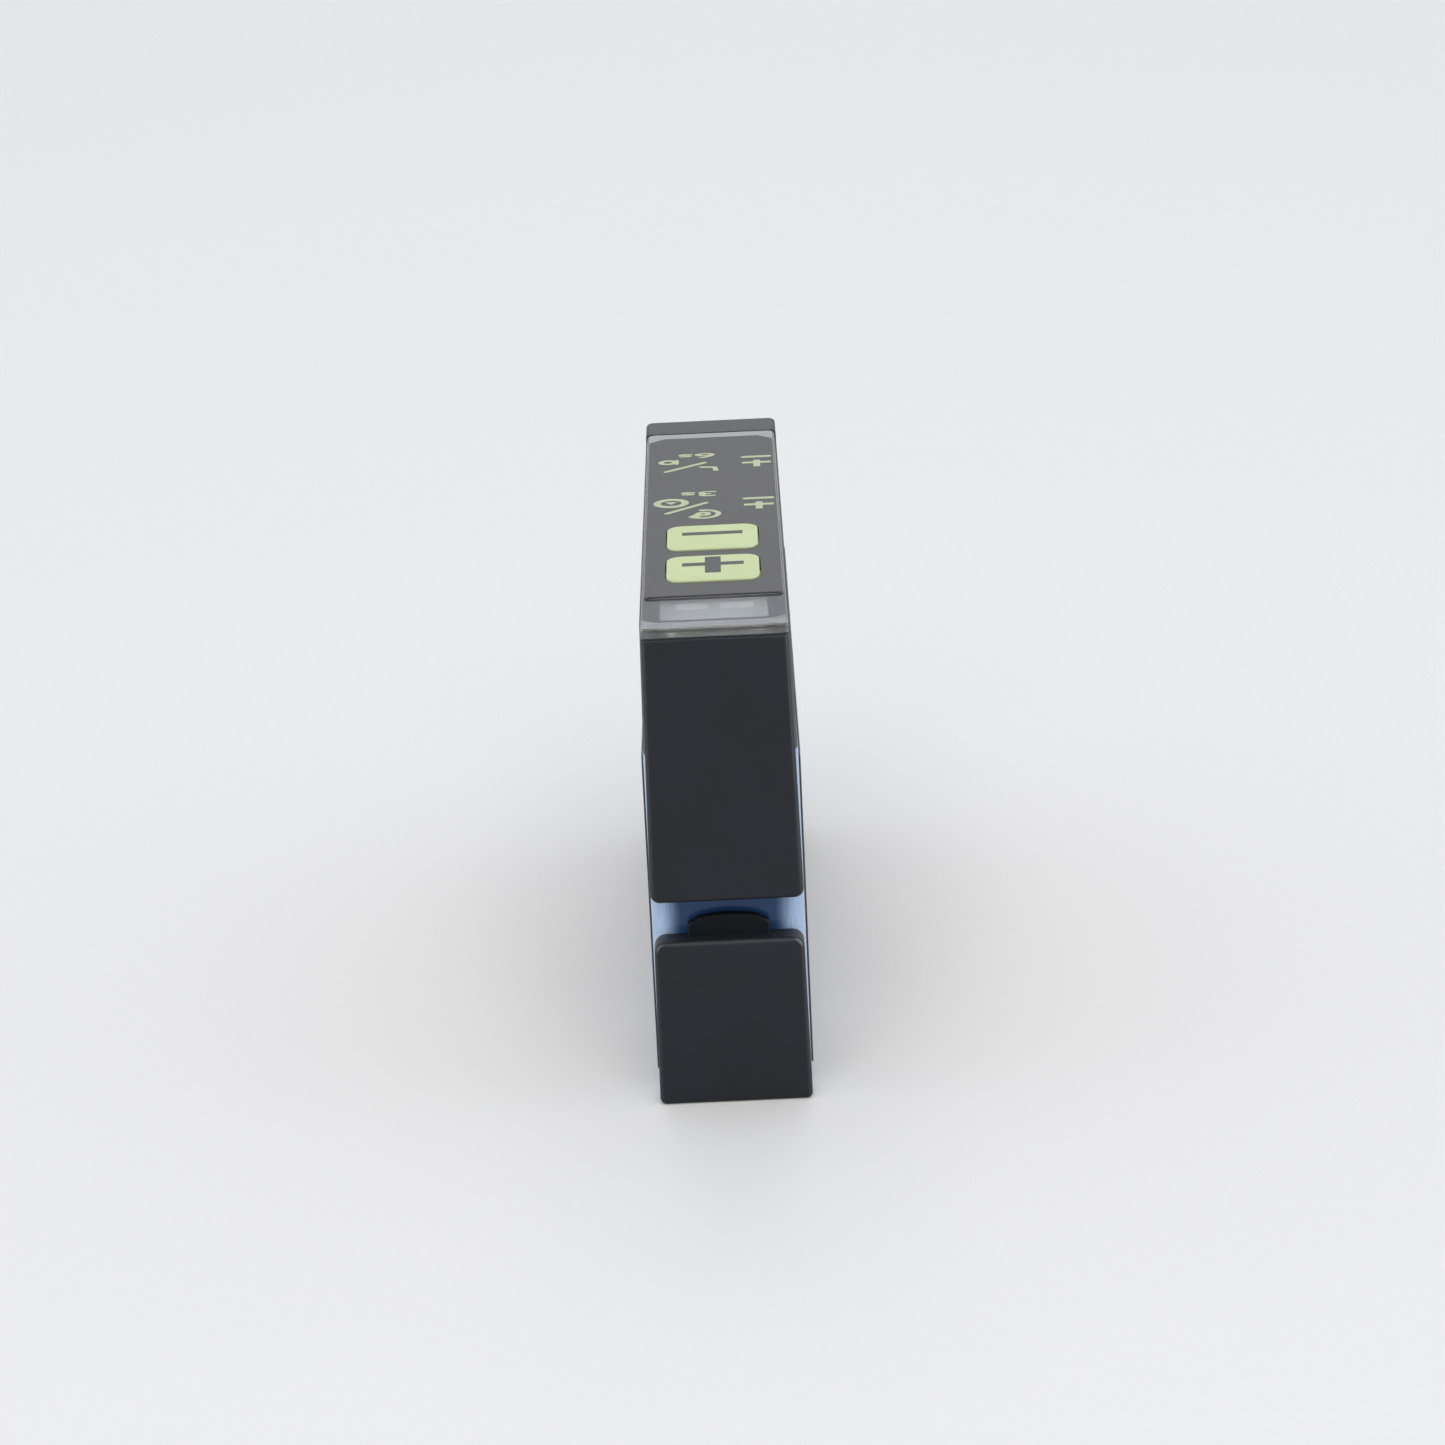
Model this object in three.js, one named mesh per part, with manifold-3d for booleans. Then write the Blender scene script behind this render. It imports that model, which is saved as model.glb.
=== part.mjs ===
// Slim photoelectric sensor with two-key teach panel and rear M8 plug.
// Units are millimetres. X runs across the narrow width, Y from the optical front to the rear,
// Z up. Lengths along Y are counted from the optical front face; the finished group is then
// moved so that the origin is the middle of the footprint, on the surface it stands on.

import * as THREE from 'three';
import { mergeVertices } from 'three/addons/utils/BufferGeometryUtils.js';
import Module from 'manifold-3d';

const wasm = await Module();
wasm.setup();

// ---------------------------------------------------------------- driving dimensions

const BODY_WIDTH = 12.4;
const BODY_REAR = 68.8; // rear wall, counted from the optical front
const SHELL_TOP = 28.5; // joint line between blue housing and black cap
const CAP_TOP = 40.0;
const WALL = 1.0;
const FLOOR = 1.2;
const FIT_GAP = 0.05; // between pieces that seat on each other

const FRONT_RECESS = 2.3; // blue front wall lies this far behind the optical front
const HOUSING_FRONT_RADIUS = 2.0;
const HOUSING_REAR_RADIUS = 1.2;
const CAP_REAR_RADIUS = 0.7;

const CAP_BASE_WIDTH = 12.32;
const CAP_TOP_WIDTH = 11.86;
const CAP_CAVITY_HALF = 4.88; // half width of the cap's hollow, which the gasket fills
const CAP_SEAM_RADIUS = 0.02;
const CAP_TOP_RADIUS = 0.35;
const CAP_STRIP_FRONT = 63.9; // the black strip behind the clear plate starts here

const SENDER_COVER = {
  bottomWidth: 12.34, topWidth: 12.0, low: 0, high: 13.87, lowRadius: 0.5, highRadius: 0.75,
};
const RECEIVER_COVER = {
  bottomWidth: 12.28, topWidth: 11.58, low: 17.15, high: 39.15, lowRadius: 0.75, highRadius: 0.1,
};
const COVER_EDGE = 0.5; // rounding of the covers' front edges
const LATCH = { halfWidth: 3.3, front: 1.3, back: 2.2, root: 12.6, shoulder: 15.2, crown: 15.7 };

const SENDER_AXIS_Z = 7.5;
const RECEIVER_AXIS_Z = 23.0;
const LENS_RADIUS = 3.8;
const LENS_EDGE = 0.85;
const LENS_BULGE = 1.3;
const PORT_RADIUS = 3.9;
const POCKET_RADIUS = 4.9;
const POCKET_FRONT = 1.05;

const PLATE = { width: 11.56, rear: 63.8, bottom: 39.2, top: 40.0, radius: 0.6 };
const FOIL = { width: 11.1, front: 8.5, rear: 61.2, thickness: 0.2, radius: 1.2 };
const KEY = { width: 7.6, depth: 7.55, radius: 1.3, proud: 0.15, travel: 0.3 };
const KEY_CENTRES = { plus: 16.1, minus: 25.8 };
const KEY_GAP = 0.1;
const KEY_FLANGE = { width: 9.2, depth: 9.3, bottom: 38.5, top: 39.0 };
const KEY_OPENING = { width: 9.6, depth: 9.5, radius: 0.8 };

const KEYPAD_BOARD = { halfWidth: 4.7, front: 3.6, rear: 60.0, bottom: 36.2, top: 37.0 };
const SWITCH = { side: 4.5, height: 1.0, buttonRadius: 1.1, wellDepth: 0.8 };
const STATUS_X = 1.83; // the two status lights sit this far each side of the middle
const STATUS_Y = 6.9;
const GUIDE = { width: 2.6, depth: 1.7, bottom: 37.95, top: 39.1 };
const STATUS_LAMP = { width: 2.0, depth: 1.4, height: 0.75 };
const MASK = { halfWidth: 4.2, front: 2.9, rear: 8.9, bottom: 38.35, top: 39.1 };

const OPTICS_BOARD = { halfWidth: 4.7, front: 16.0, rear: 16.8, low: 1.6, high: 27.4 };
const MAIN_BOARD_HALF = 0.4;

const HOLES = [
  { name: 'front', y: 21.0, z: 5.0 },
  { name: 'rear', y: 58.5, z: 22.5 },
];
const HOLE_RADIUS = 2.1; // clear hole for an M4 screw
const BUSH_RADIUS = 2.55;
const BOSS_RADIUS = 3.5;

const LABEL = { thickness: 0.15, front: 4.5, rear: 66.8, low: 1.2, high: 28.2, radius: 0.8 };

const PLUG_Z = 9.5;
const PLUG_END = 78.0;
const PLUG = {
  threadRadius: 3.95, boreRadius: 2.9, flangeRadius: 5.2, flangeLength: 1.4, shoulder: 0.35,
  shellInside: 3.0, insertInside: 5.0, insertOutside: 2.2, nutLength: 2.55,
};
const NUT_ACROSS_FLATS = 9.2;
const PIN_RADIUS = 0.5;
const PIN_FRONT = 57.0; // the pins' solder tails start here
const PIN_DEPTH = 1.4; // and their tips end this far inside the open end
const PIN_SPOTS = [
  [-1.45, 1.2],
  [1.45, 1.2],
  [1.45, -1.2],
  [-1.45, -1.2],
];

// ---------------------------------------------------------------- materials

function plastic(color, roughness) {
  return new THREE.MeshStandardMaterial({ color, roughness, metalness: 0 });
}

function metal(color, roughness) {
  return new THREE.MeshStandardMaterial({ color, roughness, metalness: 1 });
}

const FINISH = {
  blue: plastic(0x2c5f9e, 0.25),
  black: plastic(0x2b2d31, 0.5),
  darkWindow: plastic(0x24262b, 0.2),
  clear: new THREE.MeshStandardMaterial({ color: 0xe4e8ea, roughness: 0.1, transparent: true, opacity: 0.4 }),
  foil: plastic(0x4c4d52, 0.45),
  lime: plastic(0xb8cf5c, 0.5),
  label: plastic(0x303338, 0.6),
  rubber: plastic(0x1c1c1e, 0.85),
  board: plastic(0x1f6b3a, 0.4),
  chip: plastic(0x18191b, 0.5),
  lens: plastic(0xcfe0e6, 0.05),
  greenLight: plastic(0x6fd27a, 0.2),
  yellowLight: plastic(0xe6c84a, 0.2),
  white: plastic(0xd9dcdc, 0.5),
  ribbon: plastic(0xa8692a, 0.4),
  steel: metal(0xb9bcc0, 0.3),
  nickel: metal(0xc9c6bd, 0.25),
  gold: metal(0xd2a94c, 0.25),
};

// ---------------------------------------------------------------- solid helpers

function signedVolume(positions, index) {
  const a = new THREE.Vector3();
  const b = new THREE.Vector3();
  const c = new THREE.Vector3();
  let volume = 0;
  for (let i = 0; i < index.length; i += 3) {
    a.fromArray(positions, index[i] * 3);
    b.fromArray(positions, index[i + 1] * 3);
    c.fromArray(positions, index[i + 2] * 3);
    volume += a.dot(b.cross(c)) / 6;
  }
  return volume;
}

// A closed geometry as a manifold solid with its faces pointing out.
function toSolid(geometry) {
  const bare = geometry.clone();
  bare.deleteAttribute('normal');
  bare.deleteAttribute('uv');
  const merged = mergeVertices(bare, 1e-4);
  const positions = merged.attributes.position.array;
  const triangles = [];
  const source = merged.index.array;
  for (let i = 0; i < source.length; i += 3) {
    const [p, q, r] = [source[i], source[i + 1], source[i + 2]];
    if (p !== q && q !== r && r !== p) triangles.push(p, q, r);
  }
  if (signedVolume(positions, triangles) < 0) triangles.reverse();
  const vertProperties = new Float32Array(positions);
  const triVerts = new Uint32Array(triangles);
  return new wasm.Manifold(new wasm.Mesh({ numProp: 3, vertProperties, triVerts }));
}

function toGeometry(solid) {
  const mesh = solid.getMesh();
  const geometry = new THREE.BufferGeometry();
  geometry.setAttribute('position', new THREE.BufferAttribute(new Float32Array(mesh.vertProperties), 3));
  geometry.setIndex(new THREE.BufferAttribute(new Uint32Array(mesh.triVerts), 1));
  geometry.computeVertexNormals();
  return geometry;
}

function cut(base, tools) {
  let solid = toSolid(base);
  for (const tool of tools) solid = solid.subtract(toSolid(tool));
  return toGeometry(solid);
}

function join(pieces) {
  let solid = toSolid(pieces[0]);
  for (const piece of pieces.slice(1)) solid = solid.add(toSolid(piece));
  return toGeometry(solid);
}

function common(one, other) {
  return toGeometry(toSolid(one).intersect(toSolid(other)));
}

// ---------------------------------------------------------------- shape helpers

// A box from its lowest to its highest corner.
function block(low, high) {
  const size = high.map((value, i) => value - low[i]);
  const geometry = new THREE.BoxGeometry(...size);
  return geometry.translate(...low.map((value, i) => value + size[i] / 2));
}

// Closed outline through corner points [a, b, radius], each corner an arc.
function roundedOutline(corners) {
  const shape = new THREE.Shape();
  corners.forEach(([a, b, radius], i) => {
    const here = new THREE.Vector2(a, b);
    const before = new THREE.Vector2(...corners[(i + corners.length - 1) % corners.length]);
    const after = new THREE.Vector2(...corners[(i + 1) % corners.length]);
    const start = here.clone().add(before.sub(here).setLength(radius));
    const end = here.clone().add(after.sub(here).setLength(radius));
    if (i === 0) shape.moveTo(start.x, start.y);
    else shape.lineTo(start.x, start.y);
    shape.quadraticCurveTo(a, b, end.x, end.y);
  });
  shape.closePath();
  return shape;
}

function rectangle(halfWidth, low, high, lowRadius, highRadius = lowRadius) {
  return roundedOutline([
    [-halfWidth, low, lowRadius],
    [halfWidth, low, lowRadius],
    [halfWidth, high, highRadius],
    [-halfWidth, high, highRadius],
  ]);
}

function trapezium(bottomWidth, topWidth, low, high, lowRadius, highRadius) {
  return roundedOutline([
    [-bottomWidth / 2, low, lowRadius],
    [bottomWidth / 2, low, lowRadius],
    [topWidth / 2, high, highRadius],
    [-topWidth / 2, high, highRadius],
  ]);
}

const ARC_STEPS = 4;

// Outline in X and Y, raised from z = low to z = high.
function raise(shape, low, high) {
  const options = { depth: high - low, bevelEnabled: false, curveSegments: ARC_STEPS };
  return new THREE.ExtrudeGeometry(shape, options).translate(0, 0, low);
}

// Outline in X and Z, running from y = front to y = rear.
function runBack(shape, front, rear) {
  const options = { depth: rear - front, bevelEnabled: false, curveSegments: ARC_STEPS };
  return new THREE.ExtrudeGeometry(shape, options).rotateX(Math.PI / 2).translate(0, rear, 0);
}

// The same, with the edge of the front face rounded by drawing the first layers in.
function runBackRounded(shape, front, rear, edge) {
  const layers = 4;
  const options = { depth: layers, steps: layers, bevelEnabled: false, curveSegments: ARC_STEPS };
  const geometry = new THREE.ExtrudeGeometry(shape, options);
  geometry.computeBoundingBox();
  const centre = geometry.boundingBox.getCenter(new THREE.Vector3());
  const half = geometry.boundingBox.getSize(new THREE.Vector3()).divideScalar(2);
  const { position } = geometry.attributes;
  for (let i = 0; i < position.count; i += 1) {
    const layer = Math.round(position.getZ(i));
    const angle = ((layers - layer) / (layers - 1)) * (Math.PI / 2);
    const inset = layer === 0 ? 0 : edge * (1 - Math.sin(angle));
    const depth = layer === 0 ? rear - front : edge * (1 - Math.cos(angle));
    const x = centre.x + (position.getX(i) - centre.x) * (1 - inset / half.x);
    const y = centre.y + (position.getY(i) - centre.y) * (1 - inset / half.y);
    position.setXYZ(i, x, y, -depth);
  }
  return geometry.rotateX(Math.PI / 2).translate(0, front, 0);
}

// Outline in Y and Z, running from x = left to x = right.
function runAcross(shape, left, right) {
  const options = { depth: right - left, bevelEnabled: false, curveSegments: ARC_STEPS };
  const geometry = new THREE.ExtrudeGeometry(shape, options);
  const turn = new THREE.Matrix4().set(0, 0, 1, left, 1, 0, 0, 0, 0, 1, 0, 0, 0, 0, 0, 1);
  return geometry.applyMatrix4(turn);
}

// Profile of [radius, y] points turned about the line x = 0, z = axisZ.
function turned(profile, axisZ, segments = 28) {
  const points = profile.map(([radius, y]) => new THREE.Vector2(radius, y));
  return new THREE.LatheGeometry(points, segments).translate(0, 0, axisZ);
}

function rodAlongY(radius, front, rear, x, z, segments = 24) {
  const geometry = new THREE.CylinderGeometry(radius, radius, rear - front, segments);
  return geometry.translate(x, (front + rear) / 2, z);
}

function rodAcross(radius, left, right, y, z, segments = 28) {
  const geometry = new THREE.CylinderGeometry(radius, radius, right - left, segments);
  return geometry.rotateZ(Math.PI / 2).translate((left + right) / 2, y, z);
}

function rodUp(radius, low, high, x, y, segments = 20) {
  const geometry = new THREE.CylinderGeometry(radius, radius, high - low, segments);
  return geometry.rotateX(Math.PI / 2).translate(x, y, (low + high) / 2);
}

const sensor = new THREE.Group();
sensor.name = 'photoelectric_sensor';
sensor.position.y = -PLUG_END / 2;

function addPart(name, geometry, material) {
  const facingOut = toGeometry(toSolid(geometry));
  const mesh = new THREE.Mesh(facingOut, material);
  mesh.name = name;
  sensor.add(mesh);
}

// ---------------------------------------------------------------- blue housing

function bodyPlan(inset, rearRadius) {
  const half = BODY_WIDTH / 2 - inset;
  const front = FRONT_RECESS + inset;
  const rear = BODY_REAR - inset;
  return rectangle(half, front, rear, HOUSING_FRONT_RADIUS - inset / 2, rearRadius - inset / 2);
}

function makeHousing() {
  const half = BODY_WIDTH / 2;
  const outer = raise(bodyPlan(0, HOUSING_REAR_RADIUS), 0, SHELL_TOP);
  const cavity = raise(bodyPlan(WALL, HOUSING_REAR_RADIUS), FLOOR, SHELL_TOP + 1);
  const bosses = HOLES.map(({ y, z }) => rodAcross(BOSS_RADIUS, -half + 0.5, half - 0.5, y, z));
  const shell = join([cut(outer, [cavity]), ...bosses]);
  const wallFront = FRONT_RECESS - 1;
  const wallRear = FRONT_RECESS + WALL + 1;
  const portAxes = [SENDER_AXIS_Z, RECEIVER_AXIS_Z];
  const ports = portAxes.map((z) => rodAlongY(PORT_RADIUS, wallFront, wallRear, 0, z));
  const screwHoles = HOLES.map(({ y, z }) => rodAcross(BUSH_RADIUS + FIT_GAP, -half - 1, half + 1, y, z));
  const plugHole = rodAlongY(PLUG.threadRadius + FIT_GAP, BODY_REAR - WALL - 1, BODY_REAR + 1, 0, PLUG_Z);
  return cut(shell, [...ports, ...screwHoles, plugHole]);
}

addPart('housing', makeHousing(), FINISH.blue);

for (const { name, y, z } of HOLES) {
  const sleeve = rodAcross(BUSH_RADIUS, -BODY_WIDTH / 2, BODY_WIDTH / 2, y, z);
  const hole = rodAcross(HOLE_RADIUS, -BODY_WIDTH, BODY_WIDTH, y, z);
  addPart(`mounting_bush_${name}`, cut(sleeve, [hole]), FINISH.steel);
}

for (const [name, side] of [['left', -1], ['right', 1]]) {
  const outline = roundedOutline([
    [LABEL.front, LABEL.low, LABEL.radius],
    [LABEL.rear, LABEL.low, LABEL.radius],
    [LABEL.rear, LABEL.high, LABEL.radius],
    [LABEL.front, LABEL.high, LABEL.radius],
  ]);
  const inner = BODY_WIDTH / 2;
  const sheet = runAcross(outline, inner, inner + LABEL.thickness);
  const windows = HOLES.map(({ y, z }) => rodAcross(BOSS_RADIUS, inner - 1, inner + 1, y, z));
  const label = cut(sheet, windows);
  if (side < 0) label.scale(-1, 1, 1);
  addPart(`side_label_${name}`, label, FINISH.label);
}

// ---------------------------------------------------------------- black cap

function capBody() {
  const plan = raise(bodyPlan(0, CAP_REAR_RADIUS), SHELL_TOP, CAP_TOP);
  const front = trapezium(CAP_BASE_WIDTH, CAP_TOP_WIDTH, SHELL_TOP, CAP_TOP, CAP_SEAM_RADIUS, CAP_TOP_RADIUS);
  return common(plan, runBack(front, 0, BODY_REAR + 1));
}

function makeCap() {
  const ceiling = PLATE.bottom - WALL;
  const outer = capBody();
  const hollow = rectangle(CAP_CAVITY_HALF, FRONT_RECESS + WALL, BODY_REAR - WALL, 0.6);
  const cavity = raise(hollow, 0, ceiling);
  const plateSeat = block([-20, -1, PLATE.bottom], [20, CAP_STRIP_FRONT, CAP_TOP + 1]);
  const openings = Object.values(KEY_CENTRES).map((y) => {
    const reach = KEY_OPENING.depth / 2;
    const opening = rectangle(KEY_OPENING.width / 2, y - reach, y + reach, KEY_OPENING.radius);
    return raise(opening, ceiling - 1, CAP_TOP);
  });
  const maskHalf = MASK.halfWidth + 0.1;
  const lightOpening = block([-maskHalf, 0, ceiling - 1], [maskHalf, MASK.rear + 0.1, CAP_TOP]);
  const frontLip = block([-maskHalf, 0, SHELL_TOP], [maskHalf, MASK.front - 0.1, CAP_TOP]);
  return cut(outer, [cavity, plateSeat, ...openings, cut(lightOpening, [frontLip])]);
}

addPart('top_cap', makeCap(), FINISH.black);

function makeCapGasket() {
  const half = CAP_CAVITY_HALF - FIT_GAP;
  const front = FRONT_RECESS + WALL + FIT_GAP;
  const rear = BODY_REAR - WALL - FIT_GAP;
  const lip = 0.5;
  const ring = rectangle(half, front, rear, 0.8);
  ring.holes.push(rectangle(half - lip, front + lip, rear - lip, 0.6));
  return raise(ring, SHELL_TOP - 0.5, SHELL_TOP + 0.7);
}

addPart('cap_gasket', makeCapGasket(), FINISH.rubber);

// ---------------------------------------------------------------- front covers

function coverBlock({ bottomWidth, topWidth, low, high, lowRadius, highRadius }, axisZ) {
  const outline = trapezium(bottomWidth, topWidth, low, high, lowRadius, highRadius);
  const back = FRONT_RECESS - FIT_GAP;
  const rounded = runBackRounded(outline, 0, back, COVER_EDGE);
  const pocket = rodAlongY(POCKET_RADIUS, POCKET_FRONT, back + 1, 0, axisZ, 28);
  return cut(rounded, [pocket]);
}

function makeLatch() {
  const outline = new THREE.Shape();
  outline.moveTo(-LATCH.halfWidth, LATCH.root);
  outline.lineTo(LATCH.halfWidth, LATCH.root);
  outline.lineTo(LATCH.halfWidth, LATCH.shoulder - 0.4);
  outline.quadraticCurveTo(LATCH.halfWidth, LATCH.shoulder, LATCH.halfWidth - 0.5, LATCH.shoulder + 0.1);
  outline.quadraticCurveTo(0, LATCH.crown + 0.3, -LATCH.halfWidth + 0.5, LATCH.shoulder + 0.1);
  outline.quadraticCurveTo(-LATCH.halfWidth, LATCH.shoulder, -LATCH.halfWidth, LATCH.shoulder - 0.4);
  outline.closePath();
  return runBack(outline, LATCH.front, LATCH.back);
}

const senderPocket = rodAlongY(POCKET_RADIUS, POCKET_FRONT, FRONT_RECESS + 1, 0, SENDER_AXIS_Z);
const senderCover = join([coverBlock(SENDER_COVER, SENDER_AXIS_Z), cut(makeLatch(), [senderPocket])]);
addPart('sender_cover', senderCover, FINISH.darkWindow);
addPart('receiver_cover', coverBlock(RECEIVER_COVER, RECEIVER_AXIS_Z), FINISH.darkWindow);

// ---------------------------------------------------------------- optics, one set for each beam

function makeGasket(axisZ) {
  const front = POCKET_FRONT + FIT_GAP;
  const back = FRONT_RECESS - FIT_GAP;
  const outer = POCKET_RADIUS - FIT_GAP;
  const inner = outer - 0.6;
  return turned([[inner, front], [outer, front], [outer, back], [inner, back], [inner, front]], axisZ);
}

function makeLens(axisZ) {
  const front = FRONT_RECESS + 0.15;
  const edge = front + LENS_EDGE;
  const sphere = (LENS_RADIUS ** 2 + LENS_BULGE ** 2) / (2 * LENS_BULGE);
  const profile = [[0, front], [LENS_RADIUS, front], [LENS_RADIUS, edge]];
  const steps = 5;
  for (let i = 1; i <= steps; i += 1) {
    const radius = LENS_RADIUS * (1 - i / steps);
    const rise = Math.sqrt(sphere ** 2 - radius ** 2) - (sphere - LENS_BULGE);
    profile.push([radius, edge + rise]);
  }
  return turned(profile, axisZ);
}

function makeTube(axisZ) {
  const front = FRONT_RECESS + WALL + 0.2;
  const rear = OPTICS_BOARD.front - 1.5;
  const outer = LENS_RADIUS + 0.6;
  const profile = [
    [outer - 0.75, front], [outer, front], [outer, front + 2.6], [2.6, rear - 1.5], [2.6, rear],
    [1.75, rear], [1.75, rear - 2], [outer - 0.75, front + 1.7], [outer - 0.75, front],
  ];
  return turned(profile, axisZ);
}

for (const [name, axisZ] of [['sender', SENDER_AXIS_Z], ['receiver', RECEIVER_AXIS_Z]]) {
  addPart(`${name}_gasket`, makeGasket(axisZ), FINISH.rubber);
  addPart(`${name}_lens`, makeLens(axisZ), FINISH.lens);
  addPart(`${name}_tube`, makeTube(axisZ), FINISH.black);
}

function makeSenderLamp() {
  const base = OPTICS_BOARD.front - FIT_GAP;
  const flange = base - 1.2;
  const radius = 1.5;
  const profile = [[0, base], [1.9, base], [1.9, flange], [radius, flange]];
  const steps = 4;
  for (let i = 0; i <= steps; i += 1) {
    const angle = (i / steps) * (Math.PI / 2);
    profile.push([radius * Math.cos(angle), flange - 0.5 - radius * Math.sin(angle)]);
  }
  profile[profile.length - 1][0] = 0;
  return turned(profile.reverse(), SENDER_AXIS_Z, 20);
}

function makeReceiverDiode() {
  const base = OPTICS_BOARD.front - FIT_GAP;
  const outline = rectangle(2.2, RECEIVER_AXIS_Z - 2.0, RECEIVER_AXIS_Z + 2.0, 0.3);
  return runBack(outline, base - 1.3, base);
}

addPart('sender_led', makeSenderLamp(), FINISH.lens);
addPart('receiver_diode', makeReceiverDiode(), FINISH.chip);

const BARRIER = { halfWidth: 5.1, front: 4.4, rear: OPTICS_BOARD.front - 0.1, low: 14.6, high: 15.6 };
const barrierLow = [-BARRIER.halfWidth, BARRIER.front, BARRIER.low];
const barrierHigh = [BARRIER.halfWidth, BARRIER.rear, BARRIER.high];
addPart('light_barrier', block(barrierLow, barrierHigh), FINISH.black);

// ---------------------------------------------------------------- boards and their parts

const opticsOutline = rectangle(OPTICS_BOARD.halfWidth, OPTICS_BOARD.low, OPTICS_BOARD.high, 0.5);
addPart('optics_board', runBack(opticsOutline, OPTICS_BOARD.front, OPTICS_BOARD.rear), FINISH.board);

// The main board steps round both mounting bosses.
const mainOutline = roundedOutline([
  [17.2, 9.2, 0.4], [25.2, 9.2, 0.4], [25.2, 2.0, 0.4], [60.0, 2.0, 0.4],
  [60.0, 17.6, 0.4], [54.2, 17.6, 0.4], [54.2, 27.2, 0.4], [17.2, 27.2, 0.4],
]);
addPart('main_board', runAcross(mainOutline, -MAIN_BOARD_HALF, MAIN_BOARD_HALF), FINISH.board);

// Parts on the main board: side of the board, middle in Y and Z, length, height and thickness.
const CHIPS = [
  ['controller_chip', 1, 38.0, 16.5, 7.0, 7.0, 1.0, FINISH.chip],
  ['receiver_chip', -1, 25.0, 20.0, 5.0, 5.0, 1.0, FINISH.chip],
  ['driver_chip', -1, 50.0, 10.0, 5.0, 4.0, 1.2, FINISH.chip],
  ['coil', 1, 52.0, 8.0, 4.5, 4.5, 2.4, FINISH.chip],
  ['board_header', 1, 19.2, 17.0, 3.4, 8.0, 2.2, FINISH.white],
];
const SURFACE_GAP = 0.05;
for (const [name, side, y, z, length, height, thickness, finish] of CHIPS) {
  const near = MAIN_BOARD_HALF + SURFACE_GAP;
  const outline = roundedOutline([
    [y - length / 2, z - height / 2, 0.2], [y + length / 2, z - height / 2, 0.2],
    [y + length / 2, z + height / 2, 0.2], [y - length / 2, z + height / 2, 0.2],
  ]);
  const far = near + thickness;
  const body = side > 0 ? runAcross(outline, near, far) : runAcross(outline, -far, -near);
  addPart(name, body, finish);
}

for (const [name, y, z] of [['capacitor_supply', 34.0, 7.0], ['capacitor_output', 41.0, 7.0]]) {
  const near = MAIN_BOARD_HALF + SURFACE_GAP;
  addPart(name, rodAcross(2.0, -near - 4.2, -near, y, z, 20), FINISH.steel);
}

const keypadOutline = rectangle(KEYPAD_BOARD.halfWidth, KEYPAD_BOARD.front, KEYPAD_BOARD.rear, 0.5);
addPart('keypad_board', raise(keypadOutline, KEYPAD_BOARD.bottom, KEYPAD_BOARD.top), FINISH.board);

// A flat ribbon joins the main board's upper edge to the keypad board.
const ribbonOutline = new THREE.Shape();
ribbonOutline.moveTo(46.0, 27.3);
ribbonOutline.lineTo(46.2, 27.3);
ribbonOutline.bezierCurveTo(46.2, 31, 48.2, 32, 48.2, 36.1);
ribbonOutline.lineTo(48.0, 36.1);
ribbonOutline.bezierCurveTo(48.0, 32, 46.0, 31, 46.0, 27.3);
addPart('ribbon', runAcross(ribbonOutline, -3, 3), FINISH.ribbon);

// ---------------------------------------------------------------- status lights

const guideHoles = [];
for (const [name, side, finish] of [['green', -1, FINISH.greenLight], ['yellow', 1, FINISH.yellowLight]]) {
  const x = side * STATUS_X;
  const halfWidth = GUIDE.width / 2;
  const halfDepth = GUIDE.depth / 2;
  const lampBase = KEYPAD_BOARD.top + SURFACE_GAP;
  const lampHalf = STATUS_LAMP.width / 2;
  const lampReach = STATUS_LAMP.depth / 2;
  const lampLow = [x - lampHalf, STATUS_Y - lampReach, lampBase];
  const lampHigh = [x + lampHalf, STATUS_Y + lampReach, lampBase + STATUS_LAMP.height];
  addPart(`status_led_${name}`, block(lampLow, lampHigh), finish);
  const guideLow = [x - halfWidth, STATUS_Y - halfDepth, GUIDE.bottom];
  const guideHigh = [x + halfWidth, STATUS_Y + halfDepth, GUIDE.top];
  addPart(`light_guide_${name}`, block(guideLow, guideHigh), FINISH.white);
  const holeLow = guideLow.map((value) => value - FIT_GAP);
  const holeHigh = [guideHigh[0] + FIT_GAP, guideHigh[1] + FIT_GAP, GUIDE.top + 1];
  guideHoles.push(block(holeLow, holeHigh));
}
const maskPlate = raise(rectangle(MASK.halfWidth, MASK.front, MASK.rear, 0.4), MASK.bottom, MASK.top);
addPart('light_mask', cut(maskPlate, guideHoles), FINISH.foil);

// ---------------------------------------------------------------- clear plate, foil and keys

function keyWindow(y, margin) {
  const halfWidth = KEY.width / 2 + margin;
  const halfDepth = KEY.depth / 2 + margin;
  return rectangle(halfWidth, y - halfDepth, y + halfDepth, KEY.radius + margin);
}

function sheetWithKeyWindows(outline, bottom, top) {
  const windows = Object.values(KEY_CENTRES).map((y) => raise(keyWindow(y, KEY_GAP), bottom - 1, top + 1));
  return cut(raise(outline, bottom, top), windows);
}

const plateOutline = rectangle(PLATE.width / 2, 0, PLATE.rear, 0.3, PLATE.radius);
addPart('cover_plate', sheetWithKeyWindows(plateOutline, PLATE.bottom, PLATE.top), FINISH.clear);

const foilTop = PLATE.top + FOIL.thickness;
const foilOutline = rectangle(FOIL.width / 2, FOIL.front, FOIL.rear, 0.4, FOIL.radius);
addPart('keypad_foil', sheetWithKeyWindows(foilOutline, PLATE.top, foilTop), FINISH.foil);

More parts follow.
